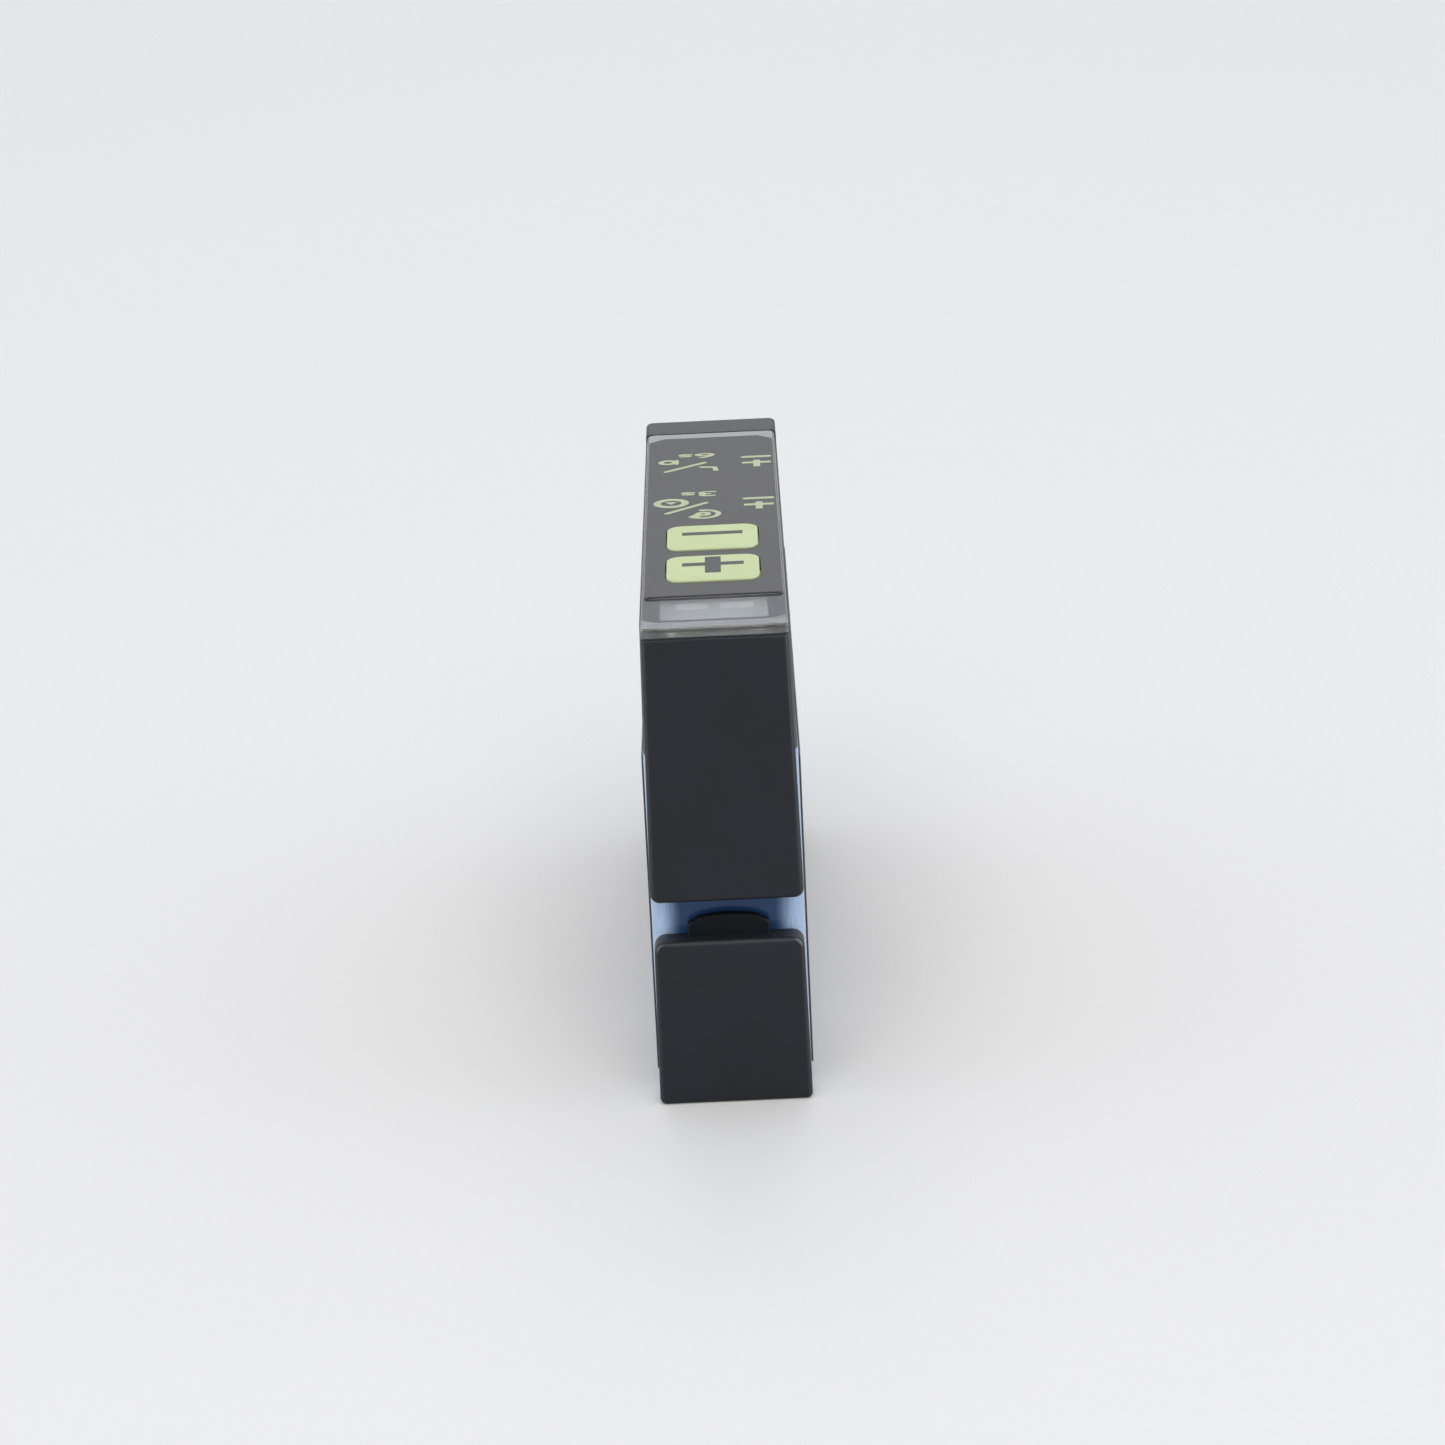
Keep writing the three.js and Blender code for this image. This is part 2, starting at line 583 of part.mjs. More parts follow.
for (const [name, y] of Object.entries(KEY_CENTRES)) {
  const pad = raise(keyWindow(y, 0), KEY_FLANGE.top - 0.2, foilTop + KEY.proud);
  const flangeHalf = KEY_FLANGE.depth / 2;
  const flangeOutline = rectangle(KEY_FLANGE.width / 2, y - flangeHalf, y + flangeHalf, 0.6);
  const flange = raise(flangeOutline, KEY_FLANGE.bottom, KEY_FLANGE.top);
  addPart(`key_${name}`, join([flange, pad]), FINISH.lime);

  const boardTop = KEYPAD_BOARD.top + SURFACE_GAP;
  const bodyTop = boardTop + SWITCH.height;
  const half = SWITCH.side / 2;
  const body = block([-half, y - half, boardTop], [half, y + half, bodyTop]);
  const well = rodUp(SWITCH.buttonRadius + KEY_GAP, bodyTop - SWITCH.wellDepth, bodyTop + 1, 0, y);
  addPart(`switch_${name}`, cut(body, [well]), FINISH.chip);
  const buttonLow = bodyTop - SWITCH.wellDepth + KEY.travel + 0.1;
  const button = rodUp(SWITCH.buttonRadius, buttonLow, KEY_FLANGE.bottom - 0.02, 0, y);
  addPart(`switch_button_${name}`, button, FINISH.white);
}

// ---------------------------------------------------------------- M8 plug in the rear wall

function makePlugShell() {
  const inside = BODY_REAR - WALL - PLUG.shellInside;
  const flangeFront = BODY_REAR + PLUG.shoulder;
  const flangeRear = flangeFront + PLUG.flangeLength;
  const outer = PLUG.threadRadius;
  const profile = [
    [PLUG.boreRadius, inside], [outer, inside], [outer, flangeFront], [PLUG.flangeRadius, flangeFront],
    [PLUG.flangeRadius, flangeRear], [outer - 0.5, flangeRear], [outer - 0.5, flangeRear + 0.8],
    [outer, flangeRear + 1.3], [outer, PLUG_END - 0.5], [outer - 0.5, PLUG_END],
    [PLUG.boreRadius, PLUG_END], [PLUG.boreRadius, inside],
  ];
  return turned(profile, PLUG_Z, 36);
}

addPart('connector_shell', makePlugShell(), FINISH.nickel);

const sealOuter = PLUG.flangeRadius - 0.1;
const sealInner = PLUG.threadRadius + 0.1;
const sealFront = BODY_REAR + 0.02;
const sealRear = BODY_REAR + PLUG.shoulder - 0.02;
const sealProfile = [
  [sealInner, sealFront], [sealOuter, sealFront], [sealOuter, sealRear], [sealInner, sealRear],
  [sealInner, sealFront],
];
addPart('connector_seal', turned(sealProfile, PLUG_Z), FINISH.rubber);

function makeNut() {
  const rear = BODY_REAR - WALL - FIT_GAP;
  const front = rear - PLUG.nutLength;
  const corner = NUT_ACROSS_FLATS / 2 / Math.cos(Math.PI / 6);
  const hexagon = rodAlongY(corner, front, rear, 0, PLUG_Z, 6);
  return cut(hexagon, [rodAlongY(PLUG.threadRadius + FIT_GAP, front - 1, rear + 1, 0, PLUG_Z, 36)]);
}

addPart('connector_nut', makeNut(), FINISH.nickel);

const insertFront = BODY_REAR - WALL - PLUG.insertInside;
const insertRear = BODY_REAR + PLUG.insertOutside;
const insertRod = rodAlongY(PLUG.boreRadius - FIT_GAP, insertFront, insertRear, 0, PLUG_Z, 36);
const pinHoles = PIN_SPOTS.map(([x, up]) => {
  return rodAlongY(PIN_RADIUS + FIT_GAP, insertFront - 1, insertRear + 1, x, PLUG_Z + up, 16);
});
addPart('connector_insert', cut(insertRod, pinHoles), FINISH.black);

PIN_SPOTS.forEach(([x, up], i) => {
  const pin = rodAlongY(PIN_RADIUS, PIN_FRONT, PLUG_END - PIN_DEPTH, x, PLUG_Z + up, 16);
  addPart(`connector_pin_${i + 1}`, pin, FINISH.gold);
});

export default sensor;
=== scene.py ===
import math

import bmesh
import bpy
from mathutils import Matrix, Vector


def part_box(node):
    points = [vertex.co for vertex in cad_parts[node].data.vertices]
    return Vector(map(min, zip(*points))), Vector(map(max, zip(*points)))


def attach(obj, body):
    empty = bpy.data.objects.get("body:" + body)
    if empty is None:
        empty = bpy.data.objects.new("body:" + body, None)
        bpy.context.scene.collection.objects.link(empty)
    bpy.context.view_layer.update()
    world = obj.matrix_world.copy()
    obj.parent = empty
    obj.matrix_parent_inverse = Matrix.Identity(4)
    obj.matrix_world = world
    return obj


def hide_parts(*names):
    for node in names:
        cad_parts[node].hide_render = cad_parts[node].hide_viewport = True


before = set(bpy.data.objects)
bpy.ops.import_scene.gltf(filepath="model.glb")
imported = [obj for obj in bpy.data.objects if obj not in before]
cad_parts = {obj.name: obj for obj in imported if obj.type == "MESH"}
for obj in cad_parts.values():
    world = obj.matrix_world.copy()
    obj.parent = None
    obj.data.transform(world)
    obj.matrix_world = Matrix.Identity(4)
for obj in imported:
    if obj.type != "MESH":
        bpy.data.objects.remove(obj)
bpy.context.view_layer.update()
scene = bpy.context.scene
MM = 0.001


# ---------------------------------------------------------------- the studio
# A pale table top that runs out of sight, even light from all round, two tall soft boxes beside
# the sensor for the long highlights on its rounded corners, and a long lens on the optical front.
# The paler blue on the housing's front corners is a painted highlight in its colour.

front_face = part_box("receiver_cover")[0].y
CAMERA_TARGET = Vector((0.3 * MM, front_face, 32.1 * MM))
CAMERA_DISTANCE = 353.3 * MM
CAMERA_PITCH = math.radians(17.35)
CAMERA_YAW = math.radians(-0.44)
CAMERA_ROLL = math.radians(-2.75)
LENS_MM = 112.1


def add_camera():
    forward = Vector((
        math.sin(CAMERA_YAW) * math.cos(CAMERA_PITCH),
        math.cos(CAMERA_YAW) * math.cos(CAMERA_PITCH),
        -math.sin(CAMERA_PITCH),
    ))
    level = Vector((math.cos(CAMERA_YAW), -math.sin(CAMERA_YAW), 0.0))
    upright = level.cross(forward)
    right = level * math.cos(CAMERA_ROLL) + upright * math.sin(CAMERA_ROLL)
    up = upright * math.cos(CAMERA_ROLL) - level * math.sin(CAMERA_ROLL)
    data = bpy.data.cameras.new("camera")
    data.lens = LENS_MM
    data.sensor_width = 36.0
    data.clip_start = 0.01
    camera = bpy.data.objects.new("camera", data)
    turn = Matrix((right, up, -forward)).transposed().to_4x4()
    camera.matrix_world = Matrix.Translation(CAMERA_TARGET - forward * CAMERA_DISTANCE) @ turn
    scene.collection.objects.link(camera)
    scene.camera = camera


def add_soft_box(name, place, size, power, tint, lights_table):
    data = bpy.data.lights.new(name, "AREA")
    data.shape = "RECTANGLE"
    data.size, data.size_y = size
    data.energy = power
    data.color = tint
    lamp = bpy.data.objects.new(name, data)
    lamp.location = place
    lamp.rotation_euler = (
        Vector((0.0, front_face, 0.03)) - Vector(place)
    ).to_track_quat("-Z", "Y").to_euler()
    lamp.visible_diffuse = lights_table
    scene.collection.objects.link(lamp)


def light_room():
    """Even pale light, a little dimmer from the camera's side than from behind the sensor."""
    world = bpy.data.worlds.new("studio")
    world.use_nodes = True
    tree = world.node_tree
    background = tree.nodes["Background"]
    direction = tree.nodes.new("ShaderNodeTexCoord")
    split = tree.nodes.new("ShaderNodeSeparateXYZ")
    tree.links.new(direction.outputs["Generated"], split.inputs[0])
    spread = tree.nodes.new("ShaderNodeMapRange")
    spread.inputs["From Min"].default_value = -1.0
    spread.inputs["From Max"].default_value = 1.0
    spread.inputs["To Min"].default_value = 0.43
    spread.inputs["To Max"].default_value = 0.75
    tree.links.new(split.outputs["Y"], spread.inputs["Value"])
    tree.links.new(spread.outputs["Result"], background.inputs["Strength"])
    background.inputs["Color"].default_value = (0.915, 0.985, 1.085, 1.0)
    scene.world = world


def new_material(name):
    material = bpy.data.materials.new(name)
    material.use_nodes = True
    tree = material.node_tree
    return material, tree, tree.nodes["Principled BSDF"]


def table_finish():
    material, tree, surface = new_material("pale table")
    surface.inputs["Roughness"].default_value = 0.8
    surface.inputs["Specular IOR Level"].default_value = 0.2
    coordinates = tree.nodes.new("ShaderNodeTexCoord")
    paper = tree.nodes.new("ShaderNodeTexNoise")
    paper.inputs["Scale"].default_value = 900.0
    tree.links.new(coordinates.outputs["Object"], paper.inputs["Vector"])
    tone = tree.nodes.new("ShaderNodeMix")
    tone.data_type = "RGBA"
    tone.inputs["A"].default_value = (0.80, 0.80, 0.805, 1.0)
    tone.inputs["B"].default_value = (0.815, 0.815, 0.82, 1.0)
    tree.links.new(paper.outputs["Fac"], tone.inputs["Factor"])
    tree.links.new(tone.outputs["Result"], surface.inputs["Base Color"])
    return material


add_camera()
light_room()
WARM_WHITE = (1.08, 1.0, 0.90)
WHITE = (1.0, 1.0, 1.0)
SOFT_BOXES = (
    ("soft_box_above", (0.0, 0.10, 1.30), (1.5, 1.5), 2.1, WARM_WHITE, True),
    ("soft_box_front", (0.0, -1.05, 1.15), (1.3, 1.3), 10.6, WARM_WHITE, True),
    ("soft_box_behind", (0.0, 1.10, 1.00), (0.7, 0.7), 3.1, WARM_WHITE, True),
    ("soft_box_left", (-0.62, -0.22, 0.30), (0.3, 0.9), 9.0, WHITE, False),
    ("soft_box_right", (0.62, -0.22, 0.30), (0.3, 0.9), 14.0, WHITE, False),
)
for name, place, size, power, tint, lights_table in SOFT_BOXES:
    add_soft_box(name, place, size, power, tint, lights_table)

table_mesh = bpy.data.meshes.new("table")
TABLE_HALF = 4.0
table_mesh.from_pydata(
    [
        (-TABLE_HALF, -TABLE_HALF, 0), (TABLE_HALF, -TABLE_HALF, 0), (TABLE_HALF, TABLE_HALF, 0),
        (-TABLE_HALF, TABLE_HALF, 0)
    ],
    [], [(0, 1, 2, 3)],
)
table = bpy.data.objects.new("table", table_mesh)
table_mesh.materials.append(table_finish())
scene.collection.objects.link(table)
scene.view_settings.view_transform = "Standard"


# ---------------------------------------------------------------- blue housing
# The main shell, injection moulded in blue plastic with a near mirror finish and walls of 1 mm. Its
# front wall has two round ports for the lenses, its rear wall one for the plug, and two tubes run
# through it from side to side for the mounting screws.

WALL = 1.0 * MM


def ring_of_points(corners, inset, steps):
    """Outline through corners (a, b, radius) with true arcs, drawn in by inset."""
    points = []
    count = len(corners)
    for i, (a, b, radius) in enumerate(corners):
        here = Vector((a, b))
        back = (Vector(corners[i - 1][:2]) - here).normalized()
        ahead = (Vector(corners[(i + 1) % count][:2]) - here).normalized()
        half_angle = back.angle(ahead) / 2
        inward = (back + ahead).normalized()
        centre = here + inward * (radius / math.sin(half_angle))
        start = math.atan2(*reversed(here + back * (radius / math.tan(half_angle)) - centre))
        sweep = math.pi - 2 * half_angle
        turn = sweep if back.cross(ahead) < 0 else -sweep
        for step in range(steps + 1):
            if inset <= radius:
                angle = start + turn * step / steps
                points.append(centre + Vector((math.cos(angle), math.sin(angle))) * (radius - inset))
            else:
                points.append(centre + inward * ((inset - radius) / math.sin(half_angle)))
    return points


def stand_on(axis, a, b, along):
    """A point of an outline, placed in the row frame for an outline that runs along that axis."""
    return {"X": (along, a, b), "Y": (a, along, b), "Z": (a, b, along)}[axis]


def new_piece(name, work):
    """A mesh object from a bmesh, its doubles merged and its faces turned outwards."""
    bmesh.ops.remove_doubles(work, verts=work.verts, dist=1e-7)
    bmesh.ops.recalc_face_normals(work, faces=work.faces)
    mesh = bpy.data.meshes.new(name)
    work.to_mesh(mesh)
    work.free()
    piece = bpy.data.objects.new(name, mesh)
    scene.collection.objects.link(piece)
    return piece


def stacked(name, rings, open_loop=False):
    """A closed solid through rings of points. With open_loop, the last ring joins the first."""
    work = bmesh.new()
    levels = [[work.verts.new(point) for point in ring] for ring in rings]
    pairs = list(zip(levels, levels[1:])) + ([(levels[-1], levels[0])] if open_loop else [])
    for lower, upper in pairs:
        for i in range(len(lower)):
            j = (i + 1) % len(lower)
            work.faces.new((lower[i], lower[j], upper[j], upper[i]))
    if not open_loop:
        work.faces.new(levels[0])
        work.faces.new(levels[-1])
    return new_piece(name, work)


def slab(name, corners, low, high, axis, low_edge=0.0, high_edge=0.0, steps=8, edge_steps=4):
    """An outline run along an axis, the edges of its two ends rounded."""
    levels = []
    for k in range(edge_steps + 1 if low_edge else 1):
        angle = math.pi / 2 * k / edge_steps
        inset = low_edge * (1 - math.sin(angle)) if low_edge else 0.0
        levels.append((inset, low + low_edge * (1 - math.cos(angle))))
    for k in range(edge_steps + 1 if high_edge else 1):
        angle = math.pi / 2 * (1 - k / edge_steps)
        inset = high_edge * (1 - math.sin(angle)) if high_edge else 0.0
        levels.append((inset, high - high_edge * (1 - math.cos(angle))))
    rings = [
        [stand_on(axis, *point, along) for point in ring_of_points(corners, inset, steps)]
        for inset, along in levels
    ]
    return stacked(name, rings)


def box_corners(a_low, b_low, a_high, b_high, low_radius, high_radius=None):
    """Corners of a rectangle, one radius at its low b side and one at its high b side."""
    high_radius = low_radius if high_radius is None else high_radius
    return [
        (a_low, b_low, low_radius), (a_high, b_low, low_radius),
        (a_high, b_high, high_radius), (a_low, b_high, high_radius),
    ]


def turned(name, profile, centre, axis="Y", steps=48):
    """A profile of (radius, along) points turned about a line, closed on itself or on the line."""
    work = bmesh.new()
    a, b = centre
    rows = []
    for radius, along in profile:
        angles = [2 * math.pi * i / steps for i in range(steps)]
        rows.append([
            work.verts.new(
                stand_on(axis, a + radius * math.sin(t), b + radius * math.cos(t), along)
            ) for t in angles
        ])
    for lower, upper in zip(rows, rows[1:]):
        for i in range(steps):
            j = (i + 1) % steps
            work.faces.new((lower[i], lower[j], upper[j], upper[i]))
    if profile[0][0] and profile[0] == profile[-1]:
        return new_piece(name, work)
    for row, (radius, along) in ((rows[0], profile[0]), (rows[-1], profile[-1])):
        if radius:
            work.faces.new(row)
    return new_piece(name, work)


def evaluated(piece):
    """Bakes a piece's modifiers into its mesh."""
    graph = bpy.context.evaluated_depsgraph_get()
    result = bpy.data.meshes.new_from_object(piece.evaluated_get(graph), depsgraph=graph)
    piece.modifiers.clear()
    piece.data = result


def carved(piece, tools, operation="DIFFERENCE"):
    """Cuts tools out of a piece, or with UNION joins them to it. The tools are used up."""
    for tool in tools:
        cutter = piece.modifiers.new(tool.name, "BOOLEAN")
        cutter.operation = operation
        cutter.solver = "EXACT"
        cutter.object = tool
    evaluated(piece)
    for tool in tools:
        bpy.data.objects.remove(tool)
    return piece


def smooth_faces(piece, angle=35.0):
    """Smooth shading with sharp creases kept, the large flat faces ruling the corner normals."""
    piece.data.shade_smooth()
    piece.data.set_sharp_from_angle(angle=math.radians(angle))
    weigh = piece.modifiers.new("weighted", "WEIGHTED_NORMAL")
    weigh.keep_sharp = True
    evaluated(piece)
    return piece


def fit(piece, body, slot, material, *nodes):
    """Puts a finished piece in place of its CAD nodes."""
    piece.data.name = piece.name
    piece.data.materials.clear()
    piece.data.materials.append(material)
    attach(piece, body)
    if nodes:
        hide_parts(*nodes)
    return piece


def new_group(name, inputs, outputs):
    """An empty shader node group with its sockets and its two end nodes."""
    group = bpy.data.node_groups.new(name, "ShaderNodeTree")
    for label, value in inputs:
        socket = group.interface.new_socket(label, in_out="INPUT", socket_type="NodeSocketFloat")
        socket.default_value = value
    for label, kind in outputs:
        group.interface.new_socket(label, in_out="OUTPUT", socket_type=kind)
    return group, group.nodes.new("NodeGroupInput"), group.nodes.new("NodeGroupOutput")


def math_node(tree, operation, first, second=None, clamp=False):
    node = tree.nodes.new("ShaderNodeMath")
    node.operation = operation
    node.use_clamp = clamp
    for socket, value in zip(node.inputs, (first, second)):
        if isinstance(value, (int, float)):
            socket.default_value = value
        elif value is not None:
            tree.links.new(value, socket)
    return node.outputs[0]


def make_mould_grain():
    """The fine spark-eroded texture of a mould: a height for bump and a tone that follows it."""
    group, start, end = new_group(
        "mould_grain", [("Grain Size mm", 0.12), ("Cloud Size mm", 4.0)],
        [("Height", "NodeSocketFloat"), ("Cloud", "NodeSocketFloat")],
    )
    where = group.nodes.new("ShaderNodeTexCoord")
    for size_name, detail, output in (("Grain Size mm", 3.0, "Height"), ("Cloud Size mm", 4.0, "Cloud")):
        noise = group.nodes.new("ShaderNodeTexNoise")
        noise.inputs["Detail"].default_value = detail
        noise.inputs["Roughness"].default_value = 0.6
        group.links.new(where.outputs["Object"], noise.inputs["Vector"])
        group.links.new(math_node(group, "DIVIDE", 1.0 / MM, start.outputs[size_name]), noise.inputs["Scale"])
        group.links.new(noise.outputs["Fac"], end.inputs[output])
    return group


def make_edge_polish():
    """Where hands and trays have rubbed the outer edges: a broken mask along every convex edge."""
    group, start, end = new_group(
        "edge_polish", [("Width mm", 0.2), ("Amount", 1.0)], [("Mask", "NodeSocketFloat")]
    )
    where = group.nodes.new("ShaderNodeTexCoord")
    surface = group.nodes.new("ShaderNodeNewGeometry")
    rounded = group.nodes.new("ShaderNodeBevel")
    rounded.samples = 4
    group.links.new(math_node(group, "MULTIPLY", start.outputs["Width mm"], MM), rounded.inputs["Radius"])
    compare = group.nodes.new("ShaderNodeVectorMath")
    compare.operation = "DOT_PRODUCT"
    group.links.new(rounded.outputs["Normal"], compare.inputs[0])
    group.links.new(surface.outputs["Normal"], compare.inputs[1])
    bend = math_node(group, "SUBTRACT", 1.0, compare.outputs["Value"])
    broken = group.nodes.new("ShaderNodeTexNoise")
    broken.inputs["Scale"].default_value = 0.9 / MM
    broken.inputs["Detail"].default_value = 5.0
    group.links.new(where.outputs["Object"], broken.inputs["Vector"])
    patchy = math_node(
        group, "MULTIPLY", math_node(group, "MULTIPLY", bend, 6.0, clamp=True), broken.outputs["Fac"]
    )
    group.links.new(
        math_node(group, "MULTIPLY", patchy, start.outputs["Amount"], clamp=True), end.inputs["Mask"]
    )
    return group


def make_dust():
    """Sparse pale specks that settle on moulded plastic."""
    group, start, end = new_group(
        "dust", [("Spacing mm", 1.4), ("Speck Size", 0.05)], [("Mask", "NodeSocketFloat")]
    )
    where = group.nodes.new("ShaderNodeTexCoord")
    cells = group.nodes.new("ShaderNodeTexVoronoi")
    group.links.new(where.outputs["Object"], cells.inputs["Vector"])
    group.links.new(math_node(group, "DIVIDE", 1.0 / MM, start.outputs["Spacing mm"]), cells.inputs["Scale"])
    pick = group.nodes.new("ShaderNodeSeparateColor")
    group.links.new(cells.outputs["Color"], pick.inputs[0])
    size = math_node(group, "MULTIPLY", start.outputs["Speck Size"], pick.outputs[0])
    near = math_node(group, "LESS_THAN", cells.outputs["Distance"], size)
    chosen = math_node(group, "GREATER_THAN", pick.outputs[1], 0.55)
    group.links.new(math_node(group, "MULTIPLY", near, chosen), end.inputs["Mask"])
    return group


GRAIN = make_mould_grain()
EDGE_POLISH = make_edge_polish()
DUST = make_dust()


def use_group(tree, group, **values):
    node = tree.nodes.new("ShaderNodeGroup")
    node.node_tree = group
    for label, value in values.items():
        node.inputs[label.replace("_", " ")].default_value = value
    return node


def blend_colour(tree, factor, first, second):
    mix = tree.nodes.new("ShaderNodeMix")
    mix.data_type = "RGBA"
    tree.links.new(factor, mix.inputs["Factor"])
    for socket, value in ((mix.inputs["A"], first), (mix.inputs["B"], second)):
        if isinstance(value, tuple):
            socket.default_value = (*value, 1.0)
        else:
            tree.links.new(value, socket)
    return mix.outputs["Result"]


def ranged(tree, factor, low, high):
    spread = tree.nodes.new("ShaderNodeMapRange")
    spread.inputs["To Min"].default_value = low
    spread.inputs["To Max"].default_value = high
    tree.links.new(factor, spread.inputs["Value"])
    return spread.outputs["Result"]


def add_bump(tree, surface, height, distance):
    bump = tree.nodes.new("ShaderNodeBump")
    bump.inputs["Distance"].default_value = distance
    tree.links.new(height, bump.inputs["Height"])
    tree.links.new(bump.outputs["Normal"], surface.inputs["Normal"])


def moulded_plastic(
    name, dark, light, worn, roughness, grain_mm, grain_depth_um, dust=0.05, specular=0.5, coat=0.0
):
    """Moulded plastic: clouded tone, grain in the bump, worn edges and a little dust."""
    material, tree, surface = new_material(name)
    grain = use_group(tree, GRAIN, Grain_Size_mm=grain_mm)
    edges = use_group(tree, EDGE_POLISH)
    specks = use_group(tree, DUST, Speck_Size=dust)
    body = blend_colour(tree, grain.outputs["Cloud"], dark, light)
    rubbed = blend_colour(tree, edges.outputs["Mask"], body, worn)
    dusty = blend_colour(tree, specks.outputs["Mask"], rubbed, (0.55, 0.55, 0.53))
    tree.links.new(dusty, surface.inputs["Base Color"])
    tree.links.new(ranged(tree, grain.outputs["Cloud"], *roughness), surface.inputs["Roughness"])
    add_bump(tree, surface, grain.outputs["Height"], grain_depth_um * MM * MM)
    surface.inputs["Specular IOR Level"].default_value = specular
    surface.inputs["Coat Weight"].default_value = coat
    surface.inputs["Coat Roughness"].default_value = 0.06
    return material


HOUSING_FRONT_RADIUS = 2.0 * MM
HOUSING_REAR_RADIUS = 1.2 * MM
housing_low, housing_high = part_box("housing")


def shell_plan(half_width, rear_radius):
    """Plan of the shell, with its larger corner radius at the optical front."""
    return box_corners(
        -half_width, housing_low.y, half_width, housing_high.y, HOUSING_FRONT_RADIUS, rear_radius
    )


def rod(name, radius, low, high, centre, axis, steps=48, flare=0.0):
    """A round cutter, its ends flared to leave a chamfer of that size."""
    if not flare:
        return turned(name, [(radius, low), (radius, high)], centre, axis, steps)
    profile = [(radius + 3 * flare, low - 2 * flare), (radius, low + flare), (radius, high - flare)]
    profile.append((radius + 3 * flare, high + 2 * flare))
    return turned(name, profile, centre, axis, steps)


def middle_of(node):
    low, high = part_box(node)
    return (low + high) / 2


def make_housing():
    half = housing_high.x
    foot_edge = 0.35 * MM
    rim_edge = 0.12 * MM
    floor = 1.2 * MM
    outer = slab(
        "housing_shell", shell_plan(half, HOUSING_REAR_RADIUS), housing_low.z, housing_high.z, "Z",
        foot_edge, rim_edge, steps=12
    )
    cavity_corners = box_corners(
        -half + WALL, housing_low.y + WALL, half - WALL, housing_high.y - WALL, 1.2 * MM, 0.6 * MM,
    )
    cavity = slab("cavity", cavity_corners, floor, housing_high.z + WALL, "Z")
    carved(outer, [cavity])
    bushes = [middle_of(f"mounting_bush_{name}") for name in ("front", "rear")]
    tubes = [rod("tube", 3.5 * MM, -half + WALL / 2, half - WALL / 2, (c.y, c.z), "X") for c in bushes]
    carved(outer, tubes, "UNION")
    bores = [rod("bore", 2.6 * MM, -half, half, (c.y, c.z), "X", flare=0.12 * MM) for c in bushes]
    ports = []
    for name in ("sender", "receiver"):
        lens = middle_of(f"{name}_lens")
        front = housing_low.y
        ports.append(rod("port", 3.9 * MM, front - WALL, front + 2 * WALL, (lens.x, lens.z), "Y"))
    plug = middle_of("connector_shell")
    ports.append(
        rod("plug_port", 4.0 * MM, housing_high.y - 2 * WALL, housing_high.y + WALL, (plug.x, plug.z), "Y")
    )
    carved(outer, bores + ports)
    return smooth_faces(outer)


def split_place(tree):
    """The object coordinates, and the node that splits them into X, Y and Z."""
    where = tree.nodes.new("ShaderNodeTexCoord")
    split = tree.nodes.new("ShaderNodeSeparateXYZ")
    tree.links.new(where.outputs["Object"], split.inputs[0])
    return where, split


def smooth_ramp(tree, value, start, full):
    ramp = tree.nodes.new("ShaderNodeMapRange")
    ramp.interpolation_type = "SMOOTHSTEP"
    ramp.inputs["From Min"].default_value = start
    ramp.inputs["From Max"].default_value = full
    tree.links.new(value, ramp.inputs["Value"])
    return ramp.outputs["Result"]


def painted_corner_highlight_mask(tree):
    """How far a point lies into the painted highlight of the two front corners: paler blue with vertical
    streaks, painted in for the bright reflections on their rounded corners.
    """
    where, split = split_place(tree)
    across = math_node(tree, "ABSOLUTE", split.outputs["X"])
    near_corner = smooth_ramp(tree, across, 3.7 * MM, 5.5 * MM)
    near_front = smooth_ramp(tree, split.outputs["Y"], front_face + 6.0 * MM, front_face + 3.6 * MM)
    flow = tree.nodes.new("ShaderNodeMapping")
    flow.inputs["Scale"].default_value = (3.4 / MM, 3.4 / MM, 0.12 / MM)
    streak = tree.nodes.new("ShaderNodeTexNoise")
    streak.inputs["Detail"].default_value = 3.0
    tree.links.new(where.outputs["Object"], flow.inputs["Vector"])
    tree.links.new(flow.outputs["Vector"], streak.inputs["Vector"])
    streaked_highlight = math_node(
        tree, "MULTIPLY", near_corner, ranged(tree, streak.outputs["Fac"], 0.50, 1.45), clamp=True
    )
    return math_node(tree, "MULTIPLY", streaked_highlight, near_front)


blue = moulded_plastic(
    "blue housing plastic", (0.016, 0.052, 0.150), (0.022, 0.068, 0.185), (0.08, 0.17, 0.34),
    roughness=(0.10, 0.17), grain_mm=0.5, grain_depth_um=1.2, specular=0.28, coat=0.05,
)
blue_surface = blue.node_tree.nodes["Principled BSDF"]
plain_blue = blue_surface.inputs["Base Color"].links[0].from_socket
# The two front corners are painted paler blue: a painted highlight for the bright reflections on their
# rounded corners.
painted_highlight_blue = blend_colour(blue.node_tree, painted_corner_highlight_mask(blue.node_tree), plain_blue, (0.46, 0.61, 0.84))
blue.node_tree.links.new(painted_highlight_blue, blue_surface.inputs["Base Color"])
fit(make_housing(), "sensor", "blue_plastic", blue, "housing")


# ---------------------------------------------------------------- black cap
# The upper half of the case, moulded in fine-grained black plastic and welded to the housing all
# round. It narrows a little towards the top. The clear plate lies in a step in its upper face, and
# only the strip behind the plate reaches the full height.

cap_low, cap_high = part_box("top_cap")
plate_low, plate_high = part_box("cover_plate")


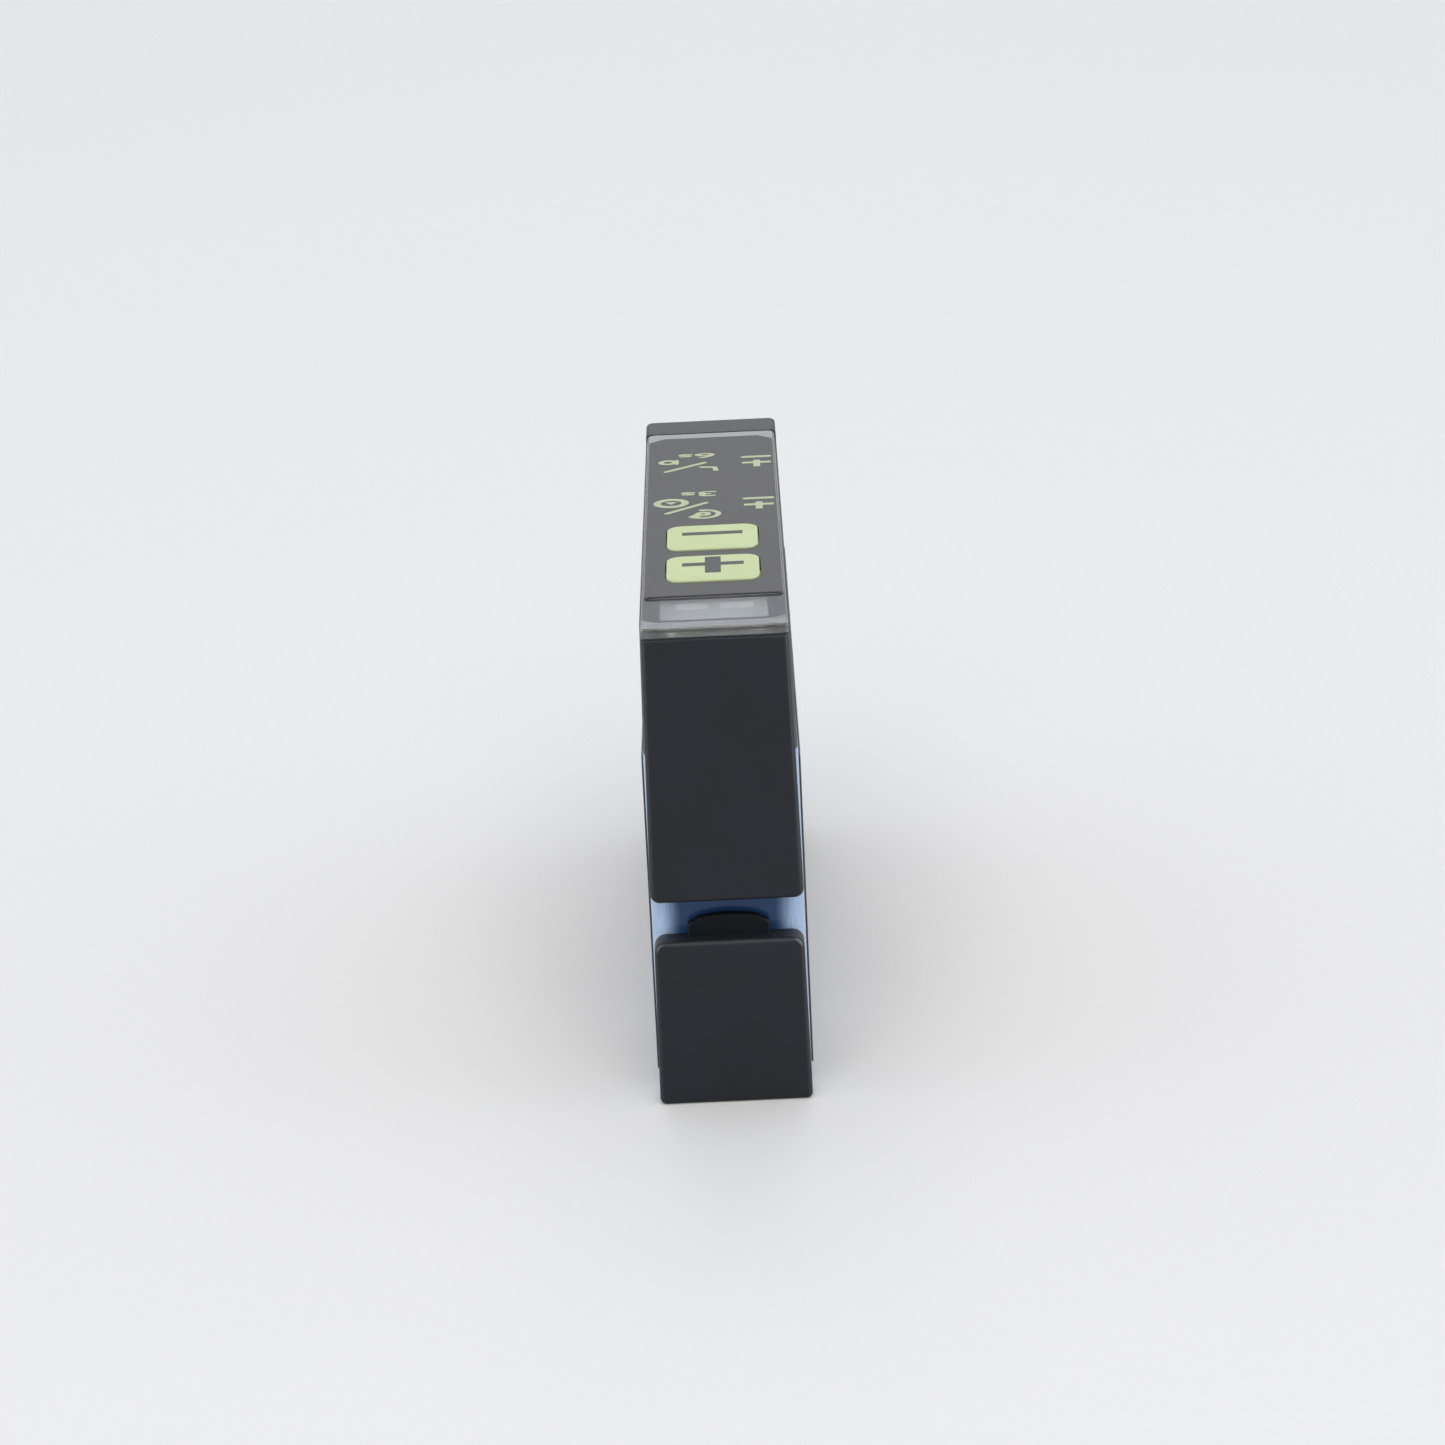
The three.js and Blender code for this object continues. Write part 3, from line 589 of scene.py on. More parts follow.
def make_cap():
    base_half = 6.16 * MM
    top_half = 5.93 * MM
    seam_edge = 0.12 * MM
    top_edge = 0.35 * MM
    edge_steps = 5
    levels = []
    for k in range(edge_steps + 1):
        angle = math.pi / 2 * k / edge_steps
        levels.append((seam_edge * (1 - math.sin(angle)), cap_low.z + seam_edge * (1 - math.cos(angle))))
    for k in range(edge_steps + 1):
        angle = math.pi / 2 * (1 - k / edge_steps)
        levels.append((top_edge * (1 - math.sin(angle)), cap_high.z - top_edge * (1 - math.cos(angle))))
    rings = []
    for inset, z in levels:
        share = (z - cap_low.z) / (cap_high.z - cap_low.z)
        half = base_half + (top_half - base_half) * share
        rings.append([(x, y, z) for x, y in ring_of_points(shell_plan(half, 0.7 * MM), inset, 12)])
    outer = stacked("cap_shell", rings)
    ceiling = plate_low.z - WALL
    inner = top_half - WALL
    tools = [
        slab(
            "cavity", box_corners(-inner, cap_low.y + WALL, inner, cap_high.y - WALL, 0.6 * MM), 0,
            ceiling, "Z"
        ),
        slab("step", box_corners(-9 * MM, cap_low.y - WALL, 9 * MM, plate_high.y + 0.1 * MM, 0.1 * MM),
             plate_low.z, cap_high.z + WALL, "Z"),
    ]
    for name in ("plus", "minus"):
        low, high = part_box(f"key_{name}")
        room = 0.2 * MM
        opening = box_corners(low.x - room, low.y - room, high.x + room, high.y + room, 0.8 * MM)
        tools.append(slab("opening", opening, ceiling - WALL, cap_high.z, "Z"))
    mask_low, mask_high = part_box("light_mask")
    room = 0.1 * MM
    opening = box_corners(
        mask_low.x - room, mask_low.y - room, mask_high.x + room, mask_high.y + room, 0.4 * MM
    )
    tools.append(slab("light_opening", opening, ceiling - WALL, cap_high.z, "Z"))
    return smooth_faces(carved(outer, tools))


black = moulded_plastic(
    "black cap plastic", (0.010, 0.011, 0.013), (0.015, 0.016, 0.019), (0.05, 0.052, 0.056),
    roughness=(0.42, 0.52), grain_mm=0.10, grain_depth_um=6.0, dust=0.06, specular=0.45,
)
fit(make_cap(), "sensor", "black_plastic", black, "top_cap")


# ---------------------------------------------------------------- front covers
# Two dark daylight filters over the lenses, moulded with a satin face and well rounded front
# edges. The lower one, over the sender, has a crowned latch that snaps into the recess between them.


def cover_outline(node, bottom_width, top_width, bottom_radius, top_radius, high):
    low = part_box(node)[0].z
    return [
        (-bottom_width / 2, low, bottom_radius), (bottom_width / 2, low, bottom_radius),
        (top_width / 2, high, top_radius), (-top_width / 2, high, top_radius),
    ]


def make_cover(node, outline, front_edge):
    low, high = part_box(node)
    cover = slab(f"{node}_block", outline, low.y, high.y, "Y", front_edge, 0.05 * MM, steps=10, edge_steps=6)
    return cover, low.y, high.y


def make_pocket(beam, front, back):
    lens = middle_of(f"{beam}_lens")
    return rod("pocket", 4.9 * MM, front + 1.05 * MM, back + WALL, (lens.x, lens.z), "Y")


SENDER_COVER_TOP = 13.87 * MM
receiver_outline = cover_outline(
    "receiver_cover", 12.28 * MM, 11.58 * MM, 0.75 * MM, 0.15 * MM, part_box("receiver_cover")[1].z
)
sender_outline = cover_outline("sender_cover", 12.34 * MM, 12.0 * MM, 0.5 * MM, 0.95 * MM, SENDER_COVER_TOP)
receiver_cover, front, back = make_cover("receiver_cover", receiver_outline, 0.5 * MM)
carved(receiver_cover, [make_pocket("receiver", front, back)])


def make_latch(front):
    """The latch: a short tongue with a crowned top and softly rounded edges."""
    half = 3.3 * MM
    root = 12.6 * MM
    shoulder = 15.15 * MM
    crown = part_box("sender_cover")[1].z
    corner = 0.5 * MM
    steps = 10
    outline = [(-half, root), (half, root)]
    for i in range(steps + 1):
        angle = math.pi / 2 * i / steps
        outline.append((half - corner * (1 - math.cos(angle)), shoulder - corner * (1 - math.sin(angle))))
    for i in range(1, 2 * steps):
        across = 1 - i / steps
        rise = (crown - shoulder) * math.sqrt(max(0.0, 1 - across * across))
        outline.append(((half - corner) * across, shoulder + rise))
    for i in range(steps + 1):
        angle = math.pi / 2 * (1 - i / steps)
        outline.append((-half + corner * (1 - math.cos(angle)), shoulder - corner * (1 - math.sin(angle))))
    near = front + 1.3 * MM
    far = front + 2.2 * MM
    edge = 0.18 * MM
    centre = Vector((0.0, (root + shoulder) / 2))
    rings = []
    for k in range(9):
        angle = math.pi * k / 8
        inset = edge * (1 - math.sin(angle))
        share = 0.5 - 0.5 * math.cos(angle)
        along = near + edge * (1 - math.cos(angle)) if k <= 4 else far - edge * (1 + math.cos(angle))
        scale_x = 1 - inset / half
        scale_z = 1 - inset / (crown - centre.y)
        rings.append([(x * scale_x, along, centre.y + (z - centre.y) * scale_z) for x, z in outline])
    return stacked("latch", rings)


sender_cover, front, back = make_cover("sender_cover", sender_outline, 0.45 * MM)
carved(sender_cover, [make_latch(front)], "UNION")
carved(sender_cover, [make_pocket("sender", front, back)])
dark_filter = moulded_plastic(
    "dark filter plastic", (0.0058, 0.0090, 0.0090), (0.0065, 0.0095, 0.0190), (0.032, 0.036, 0.042),
    roughness=(0.40, 0.50), grain_mm=0.08, grain_depth_um=4.0, dust=0.05, specular=0.30,
)
# The latch's plastic is more matt than the filter's and much darker: the darker colour is painted shade for
# its place in the recess under the upper cover.
latch_painted_shade_finish = moulded_plastic(
    "matt latch plastic", (0.0030, 0.0045, 0.0075), (0.0050, 0.0065, 0.0100), (0.018, 0.020, 0.024),
    roughness=(0.55, 0.65), grain_mm=0.08, grain_depth_um=5.0, dust=0.03, specular=0.10,
)
fit(smooth_faces(receiver_cover), "sensor", "dark_window", dark_filter, "receiver_cover")
fit(smooth_faces(sender_cover), "sensor", "dark_window", dark_filter, "sender_cover")
sender_cover.data.materials.append(latch_painted_shade_finish)
# Faces above the cover's top, the latch's, take the darker plastic of painted shade.
for face in sender_cover.data.polygons:
    face.material_index = 1 if face.center.z > SENDER_COVER_TOP + 0.01 * MM else 0


# ---------------------------------------------------------------- side films
# A thin dark film is glued to each side of the housing, with a round window at each mounting hole.


def make_side_film(side):
    low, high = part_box("side_label_left" if side < 0 else "side_label_right")
    corners = box_corners(low.y, low.z, high.y, high.z, 0.8 * MM)
    film = slab(f"side_film_{'left' if side < 0 else 'right'}", corners, low.x, high.x, "X",
                0.04 * MM, 0.04 * MM, steps=8, edge_steps=3)
    windows = []
    for name in ("front", "rear"):
        bush = middle_of(f"mounting_bush_{name}")
        windows.append(rod("window", 3.5 * MM, low.x - WALL, high.x + WALL, (bush.y, bush.z), "X"))
    return smooth_faces(carved(film, windows))


film = moulded_plastic(
    "dark side film", (0.011, 0.013, 0.017), (0.016, 0.018, 0.023), (0.20, 0.21, 0.23),
    roughness=(0.36, 0.46), grain_mm=0.15, grain_depth_um=2.0, dust=0.04, specular=0.45,
)
for side, node in ((-1, "side_label_left"), (1, "side_label_right")):
    fit(make_side_film(side), "sensor", "label", film, node)


# ---------------------------------------------------------------- clear plate
# A clear plate lies over the whole panel. At the front it is left bare as the window over the
# status lights, and behind it carries the printed foil. Two openings let the keys through.


def key_window(node, room):
    low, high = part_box(node)
    half_width = 3.8 * MM + room
    half_depth = 3.775 * MM + room
    y = (low.y + high.y) / 2
    return box_corners(-half_width, y - half_depth, half_width, y + half_depth, 1.3 * MM + room)


def make_panel_sheet(name, corners, low, high, edge):
    sheet = slab(name, corners, low, high, "Z", 0.0, edge, steps=8)
    room = 0.1 * MM
    tools = [
        slab("window", key_window(f"key_{key}", room), low - WALL, high + WALL, "Z") for key in ("plus",
        "minus")
    ]
    return smooth_faces(carved(sheet, tools))


def clear_finish():
    material, tree, surface = new_material("clear plate")
    surface.inputs["Transmission Weight"].default_value = 0.95
    surface.inputs["IOR"].default_value = 1.49
    grain = use_group(tree, GRAIN, Grain_Size_mm=0.6, Cloud_Size_mm=3.0)
    tint = blend_colour(tree, grain.outputs["Cloud"], (0.86, 0.88, 0.88), (0.93, 0.94, 0.94))
    tree.links.new(tint, surface.inputs["Base Color"])
    tree.links.new(ranged(tree, grain.outputs["Cloud"], 0.10, 0.20), surface.inputs["Roughness"])
    add_bump(tree, surface, grain.outputs["Height"], 0.8 * MM * MM)
    return material


plate_corners = box_corners(plate_low.x, plate_low.y, plate_high.x, plate_high.y, 0.3 * MM, 0.6 * MM)
clear_plate = make_panel_sheet("clear_plate", plate_corners, plate_low.z, plate_high.z, 0.2 * MM)
fit(clear_plate, "sensor", "clear_plastic", clear_finish(), "cover_plate")


# ---------------------------------------------------------------- printed foil
# Textured polyester foil glued to the clear plate, with cut rear corners. The signs are printed in
# lime: two rows of key hints that read from the rear, and a two-way mark at the right of each.

foil_low, foil_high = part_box("keypad_foil")
PRINT_THICKNESS = 0.02 * MM


def foil_corners():
    notch = 1.3 * MM
    return [
        (foil_low.x, foil_low.y, 0.4 * MM), (foil_high.x, foil_low.y, 0.4 * MM),
        (foil_high.x, foil_high.y - notch, 0.5 * MM), (foil_high.x - notch, foil_high.y, 0.5 * MM),
        (foil_low.x + notch, foil_high.y, 0.5 * MM), (foil_low.x, foil_high.y - notch, 0.5 * MM),
    ]


foil_finish = moulded_plastic(
    "textured foil", (0.025, 0.025, 0.030), (0.033, 0.033, 0.038), (0.07, 0.07, 0.075),
    roughness=(0.42, 0.52), grain_mm=0.09, grain_depth_um=5.0, dust=0.03, specular=0.43,
)
# A light grey carrier film lies under the foil. Its pale colour, seen where the foil's rear corners are cut
# away, is a painted glint.
CARRIER_THICKNESS = 0.03 * MM
carrier_glint_finish = moulded_plastic(
    "satin carrier film", (0.27, 0.28, 0.29), (0.36, 0.37, 0.38), (0.50, 0.51, 0.52),
    roughness=(0.38, 0.50), grain_mm=0.20, grain_depth_um=2.0, dust=0.04, specular=0.45,
)
carrier_corners = box_corners(-5.6 * MM, foil_low.y, 5.6 * MM, plate_high.y - 0.4 * MM, 0.6 * MM)
carrier = make_panel_sheet(
    "carrier_film", carrier_corners, foil_low.z, foil_low.z + CARRIER_THICKNESS, 0.01 * MM
)
fit(carrier, "sensor", "foil", carrier_glint_finish)
foil = make_panel_sheet(
    "printed_foil", foil_corners(), foil_low.z + CARRIER_THICKNESS, foil_high.z, 0.05 * MM
)
fit(foil, "sensor", "foil", foil_finish, "keypad_foil")


def ink_height(work):
    """Each shape of a print stands a little higher than the one before it, so no two tops lie in
    one plane where they cross."""
    return PRINT_THICKNESS * (1.0 + 0.0015 * len(work.faces))


def raised_print(work, rim, z):
    """A flat printed shape of a closed outline, standing up from the surface by the ink's height."""
    low = [work.verts.new((x, y, z)) for x, y in rim]
    high = [work.verts.new((x, y, z + ink_height(work))) for x, y in rim]
    work.faces.new(list(reversed(low)))
    work.faces.new(high)
    for i in range(len(rim)):
        j = (i + 1) % len(rim)
        work.faces.new((low[i], low[j], high[j], high[i]))


def stroke_print(work, start, end, width, z):
    """A printed stroke between two points, with round ends."""
    start, end = Vector(start), Vector(end)
    along = math.atan2(end.y - start.y, end.x - start.x)
    steps = 6
    rim = []
    for centre, first in ((end, along - math.pi / 2), (start, along + math.pi / 2)):
        for i in range(steps + 1):
            angle = first + math.pi * i / steps
            rim.append(centre + Vector((math.cos(angle), math.sin(angle))) * width / 2)
    raised_print(work, rim, z)


def ring_print(work, centre, radius, width, z, first=0.0, sweep=360.0):
    """A printed ring, or an arc of one, from an angle and over a sweep in degrees."""
    closed = sweep == 360.0
    steps = 40
    top = z + ink_height(work)
    rows = []
    for i in range(steps if closed else steps + 1):
        angle = math.radians(first + sweep * i / steps)
        side = Vector((math.cos(angle), math.sin(angle)))
        inner = Vector(centre) + side * (radius - width / 2)
        outer = Vector(centre) + side * (radius + width / 2)
        spots = (
            (inner.x, inner.y, z), (outer.x, outer.y, z), (outer.x, outer.y, top), (inner.x, inner.y, top)
        )
        rows.append([work.verts.new(p) for p in spots])
    pairs = list(zip(rows, rows[1:])) + ([(rows[-1], rows[0])] if closed else [])
    for one, other in pairs:
        for k in range(4):
            m = (k + 1) % 4
            work.faces.new((one[k], other[k], other[m], one[m]))
    if not closed:
        work.faces.new(rows[0])
        work.faces.new(list(reversed(rows[-1])))


def arrow_print(work, tip, heading, size, z):
    forward = Vector((math.cos(math.radians(heading)), math.sin(math.radians(heading))))
    across = Vector((-forward.y, forward.x)) * size * 0.62
    tip = Vector(tip)
    raised_print(work, [tip, tip - forward * size + across, tip - forward * size - across], z)


def number_print(text, spot, size, z):
    """A printed figure that reads from the rear of the sensor."""
    data = bpy.data.curves.new("figure", "FONT")
    data.body = text
    data.size = size
    data.extrude = PRINT_THICKNESS / 2
    data.offset = 0.07 * MM
    data.align_x = "CENTER"
    data.align_y = "CENTER"
    figure = bpy.data.objects.new("figure", data)
    scene.collection.objects.link(figure)
    graph = bpy.context.evaluated_depsgraph_get()
    mesh = bpy.data.meshes.new_from_object(figure.evaluated_get(graph))
    bpy.data.objects.remove(figure)
    wide_and_low = Matrix.Diagonal((1.12, 0.66, 1.0, 1.0))
    place = Matrix.Translation((*spot, z + PRINT_THICKNESS / 2))
    mesh.transform(place @ Matrix.Rotation(math.pi, 4, "Z") @ wide_and_low)
    return mesh


def add_row(work, rear_row):
    """One row of signs: a mode ring, a stroke, a second sign, the two-way mark and the key time."""
    z = foil_high.z
    ink = 0.46 * MM
    bold = 0.62 * MM

    def at(x, y):
        return (x * MM, front_face + y * MM)

    if rear_row:
        ring_print(work, at(-3.85, 52.3), 0.62 * MM, ink, z)
        stroke_print(work, at(-3.05, 52.9), at(-3.05, 51.6), 0.34 * MM, z)
        stroke_print(work, at(-4.0, 48.9), at(-0.6, 51.7), ink, z)
        stroke_print(work, at(-0.85, 50.1), at(0.25, 49.9), ink, z)
        stroke_print(work, at(0.30, 49.8), at(0.42, 48.8), ink, z)
        ticks = (53.1, 51.0, 49.5, 52.4)
        signs = (("6", at(-0.55, 54.4), 3.5 * MM), ("s", at(-2.3, 54.4), 3.2 * MM))
    else:
        ring_print(work, at(-3.5, 37.8), 1.22 * MM, bold, z)
        arrow_print(work, at(-3.5, 37.35), -90.0, 0.85 * MM, z)
        stroke_print(work, at(-3.85, 34.4), at(-0.5, 37.5), ink, z)
        ring_print(work, at(-0.75, 33.7), 1.3 * MM, ink, z, first=-150.0, sweep=255.0)
        arrow_print(work, at(-2.0, 32.9), 205.0, 0.9 * MM, z)
        ring_print(work, at(-0.75, 33.75), 0.45 * MM, ink, z)
        ticks = (38.3, 36.2, 34.7, 37.6)
        signs = (("3", at(-0.4, 40.7), 3.5 * MM), ("s", at(-2.05, 40.7), 3.2 * MM))
    stroke_print(work, at(2.95, ticks[0]), at(5.1, ticks[0]), bold, z)
    middle = (ticks[2] + ticks[3]) / 2
    mark = [
        (2.75, ticks[1] - 0.3), (3.75, ticks[1] - 0.3), (3.75, ticks[2]),
        (4.35, ticks[2]), (4.35, ticks[1] - 0.3),
        (5.3, ticks[1] - 0.3), (5.3, ticks[1] + 0.3), (4.35, ticks[1] + 0.3), (4.35, middle + 0.9),
        (3.75, middle + 0.9), (3.75, ticks[1] + 0.3), (2.75, ticks[1] + 0.3),
    ]
    raised_print(work, [at(*point) for point in mark], z)
    for text, spot, size in signs:
        work.from_mesh(number_print(text, spot, size, z))


def make_prints():
    for name, rear_row in (("print_row_near", False), ("print_row_far", True)):
        work = bmesh.new()
        add_row(work, rear_row)
        yield new_piece(name, work)


lime = moulded_plastic(
    "lime print", (0.40, 0.46, 0.27), (0.47, 0.53, 0.33), (0.56, 0.60, 0.44),
    roughness=(0.42, 0.55), grain_mm=0.12, grain_depth_um=2.5, dust=0.02, specular=0.45,
)
for print_row in make_prints():
    fit(print_row, "sensor", "lime_key", lime)


# ---------------------------------------------------------------- keys
# Two lime key pads stand a hair above the foil. Under each pad a wider flange keeps it from falling
# out. One is printed with a plus and the other with a minus. They travel 0.3 mm.

SIGN_SHIFT = 1.05 * MM


def make_key(node):
    low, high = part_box(node)
    flange_top = low.z + 0.5 * MM
    pad = slab(
        f"{node}_cap", key_window(node, 0.0), flange_top - 0.1 * MM, high.z, "Z", 0.0, 0.12 * MM, steps=10
    )
    flange_corners = box_corners(low.x, low.y, high.x, high.y, 0.6 * MM)
    flange = slab("flange", flange_corners, low.z, flange_top, "Z", 0.08 * MM, 0.08 * MM)
    return smooth_faces(carved(pad, [flange], "UNION"))


def make_key_sign(node):
    """The dark sign, a bar or a cross of a bar and a wider arm, flush in the pad's print."""
    low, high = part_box(node)
    x = 2.53
    y = 0.5
    arm_x = 0.65
    arm_rear = 2.2
    arm_front = -2.7
    outline = [(-x, -y), (x, -y), (x, y), (-x, y)]
    if node == "key_plus":
        outline = [
            (-x, -y), (-arm_x, -y), (-arm_x, arm_front), (arm_x, arm_front), (arm_x, -y), (x, -y),
            (x, y), (arm_x, y), (arm_x, arm_rear), (-arm_x, arm_rear), (-arm_x, y), (-x, y),
        ]
    middle = (low.y + high.y) / 2 + SIGN_SHIFT
    work = bmesh.new()
    raised_print(work, [(a * MM, middle + b * MM) for a, b in outline], high.z - 0.95 * PRINT_THICKNESS)
    return new_piece(f"{node}_sign", work)


key_ink = moulded_plastic(
    "lime key pad", (0.45, 0.56, 0.235), (0.60, 0.675, 0.395), (0.66, 0.72, 0.50),
    roughness=(0.42, 0.55), grain_mm=0.12, grain_depth_um=2.5, dust=0.03, specular=0.45,
)
sign_ink = moulded_plastic(
    "dark key sign", (0.020, 0.022, 0.022), (0.032, 0.035, 0.032), (0.05, 0.055, 0.04),
    roughness=(0.42, 0.55), grain_mm=0.12, grain_depth_um=2.5, dust=0.02, specular=0.45,
)
for node in ("key_plus", "key_minus"):
    fit(make_key(node), node, "lime_key", key_ink, node)
    fit(make_key_sign(node), node, "foil", sign_ink)


# ---------------------------------------------------------------- status lights
# Two small surface lamps on the key board, green and yellow. Each shines up a frosted guide that
# fills a slot in a grey mask, so the lights don't mix under the clear plate.

lamp_plastic = {
    "green": moulded_plastic(
        "green lamp resin", (0.20, 0.55, 0.25), (0.28, 0.66, 0.33), (0.40, 0.75, 0.45),
        roughness=(0.12, 0.2), grain_mm=0.3, grain_depth_um=0.5, dust=0.0, specular=0.5, coat=0.5,
    ),
    "yellow": moulded_plastic(
        "yellow lamp resin", (0.72, 0.50, 0.08), (0.82, 0.60, 0.14), (0.88, 0.70, 0.30),
        roughness=(0.12, 0.2), grain_mm=0.3, grain_depth_um=0.5, dust=0.0, specular=0.5, coat=0.5,
    ),
}
frosted = moulded_plastic(
    "frosted light guide", (0.27, 0.28, 0.275), (0.34, 0.35, 0.34), (0.50, 0.50, 0.50),
    roughness=(0.25, 0.35), grain_mm=0.2, grain_depth_um=2.0, specular=0.5,
)
mask_grey = moulded_plastic(
    "grey mask plastic", (0.062, 0.070, 0.064), (0.095, 0.104, 0.095), (0.2, 0.2, 0.2),
    roughness=(0.40, 0.50), grain_mm=0.2, grain_depth_um=3.0, specular=0.45,
)
mask_tree = mask_grey.node_tree
mask_surface = mask_tree.nodes["Principled BSDF"]
where, split = split_place(mask_tree)
fade = smooth_ramp(mask_tree, math_node(mask_tree, "ABSOLUTE", split.outputs["X"]), 2.3 * MM, 3.9 * MM)
plain_grey = mask_surface.inputs["Base Color"].links[0].from_socket
faded_grey = blend_colour(mask_tree, fade, plain_grey, (0.014, 0.015, 0.015))
mask_tree.links.new(faded_grey, mask_surface.inputs["Base Color"])
for colour in ("green", "yellow"):
    node = f"status_led_{colour}"
    low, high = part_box(node)
    base = slab(node + "_lamp", box_corners(low.x, low.y, high.x, high.y, 0.1 * MM), low.z, low.z + 0.35 * MM,
                "Z", 0.03 * MM, 0.03 * MM)
    rim = 0.3 * MM
    dome = box_corners(low.x + rim, low.y + 0.08 * MM, high.x - rim, high.y - 0.08 * MM, 0.2 * MM)
    carved(base, [slab("dome", dome, low.z + 0.2 * MM, high.z, "Z", 0.0, 0.25 * MM)], "UNION")
    fit(smooth_faces(base), "sensor", f"{colour}_light", lamp_plastic[colour], node)

    node = f"light_guide_{colour}"
    low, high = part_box(node)
    guide = slab(node + "_rod", box_corners(low.x, low.y, high.x, high.y, 0.15 * MM), low.z, high.z,
                 "Z", 0.15 * MM, 0.06 * MM)
    fit(smooth_faces(guide), "sensor", "light_guide", frosted, node)

low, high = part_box("light_mask")
mask = slab("light_mask_plate", box_corners(low.x, low.y, high.x, high.y, 0.4 * MM), low.z, high.z,
            "Z", 0.1 * MM, 0.06 * MM)
slots = []
for colour in ("green", "yellow"):
    a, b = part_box(f"light_guide_{colour}")
    gap = 0.04 * MM
    slot_corners = box_corners(a.x - gap, a.y - gap, b.x + gap, b.y + gap, 0.15 * MM)
    slots.append(slab("slot", slot_corners, low.z - WALL, high.z + WALL, "Z"))
fit(smooth_faces(carved(mask, slots)), "sensor", "foil", mask_grey, "light_mask")


# ---------------------------------------------------------------- optics
# Behind each port sit a rubber gasket, a clear lens and a black tube with steps against stray
# light. The lower tube ends at the infrared sender, the upper at a square receiver diode.

rubber = moulded_plastic(
    "black rubber", (0.010, 0.010, 0.011), (0.018, 0.018, 0.019), (0.035, 0.035, 0.036),
    roughness=(0.70, 0.85), grain_mm=0.25, grain_depth_um=8.0, dust=0.10, specular=0.3,
)
inner_black = moulded_plastic(
    "black inner plastic", (0.008, 0.008, 0.009), (0.014, 0.014, 0.015), (0.03, 0.03, 0.03),
    roughness=(0.55, 0.70), grain_mm=0.15, grain_depth_um=6.0, specular=0.35,
)


def optical_finish(name, deep, light, ior):
    material, tree, surface = new_material(name)
    surface.inputs["Transmission Weight"].default_value = 1.0
    surface.inputs["IOR"].default_value = ior
    grain = use_group(tree, GRAIN, Grain_Size_mm=0.9, Cloud_Size_mm=2.0)
    tree.links.new(blend_colour(tree, grain.outputs["Cloud"], deep, light), surface.inputs["Base Color"])
    tree.links.new(ranged(tree, grain.outputs["Cloud"], 0.01, 0.05), surface.inputs["Roughness"])
    return material


lens_clear = optical_finish("clear lens plastic", (0.86, 0.93, 0.95), (0.93, 0.97, 0.98), 1.49)
lamp_clear = optical_finish("infrared lamp resin", (0.62, 0.72, 0.82), (0.72, 0.80, 0.88), 1.54)


def dome_profile(radius, base, height, steps, away):
    """Points of a cap of a sphere, from its rim to the axis. It bulges away along the axis."""
    ball = (radius ** 2 + height ** 2) / (2 * height)
    points = []
    for i in range(steps + 1):
        r = radius * (1 - i / steps)
        points.append((r, base + away * (math.sqrt(ball ** 2 - r ** 2) - (ball - height))))
    return points


for beam in ("sender", "receiver"):
    middle = middle_of(f"{beam}_lens")
    axis = (middle.x, middle.z)
    low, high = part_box(f"{beam}_gasket")
    outer = high.x
    inner = outer - 0.6 * MM
    lip = 0.12 * MM
    depth = high.y - low.y
    section = [
        (inner, low.y + lip), (inner + lip, low.y), (outer - lip, low.y), (outer, low.y + lip),
        (outer, low.y + depth * 0.4), (outer - lip, low.y + depth * 0.5), (outer, low.y + depth * 0.6),
        (outer, high.y - lip), (outer - lip, high.y), (inner + lip, high.y), (inner, high.y - lip),
    ]
    gasket = turned(f"{beam}_seal", section + section[:1], axis)
    fit(smooth_faces(gasket, 50.0), "sensor", "rubber", rubber, f"{beam}_gasket")

    low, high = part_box(f"{beam}_lens")
    radius = high.x
    edge = 0.06 * MM
    rim = low.y + 0.85 * MM
    profile = [(0.0, low.y), (radius - edge, low.y), (radius, low.y + edge), (radius, rim)]
    profile += dome_profile(radius, rim, high.y - rim, 20, 1)[1:]
    fit(smooth_faces(turned(f"{beam}_optic", profile, axis)), "sensor", "lens", lens_clear, f"{beam}_lens")

    low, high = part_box(f"{beam}_tube")
    outer = high.x
    inner = outer - 0.75 * MM
    neck = 2.6 * MM
    throat = 1.75 * MM
    profile = [
        (inner, low.y), (outer, low.y), (outer, low.y + 2.6 * MM), (neck, high.y - 1.5 * MM), (neck, high.y)
    ]
    profile += [(throat, high.y), (throat, high.y - 2.0 * MM)]
    steps = 6
    start = low.y + 1.7 * MM
    for i in range(1, steps + 1):
        share = i / steps
        along = high.y - 2.0 * MM + (start - high.y + 2.0 * MM) * share
        radius = throat + (inner - throat) * share
        profile += [(radius, along + 0.5 * MM), (radius, along)] if i < steps else [(inner, along)]
    profile.append((inner, low.y))
    tube = turned(f"{beam}_baffle", profile, axis)
    fit(smooth_faces(tube), "sensor", "black_plastic", inner_black, f"{beam}_tube")

low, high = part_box("sender_led")
middle = middle_of("sender_led")
flange = high.y - 1.2 * MM
body = 1.5 * MM
profile = [
    (0.0, high.y), (high.x - 0.08 * MM, high.y), (high.x, high.y - 0.08 * MM), (high.x, flange),
    (body, flange)
]
profile += dome_profile(body, low.y + body, body * 0.999, 14, -1)
lamp = turned("infrared_lamp", list(reversed(profile)), (middle.x, middle.z))
fit(smooth_faces(lamp), "sensor", "lens", lamp_clear, "sender_led")

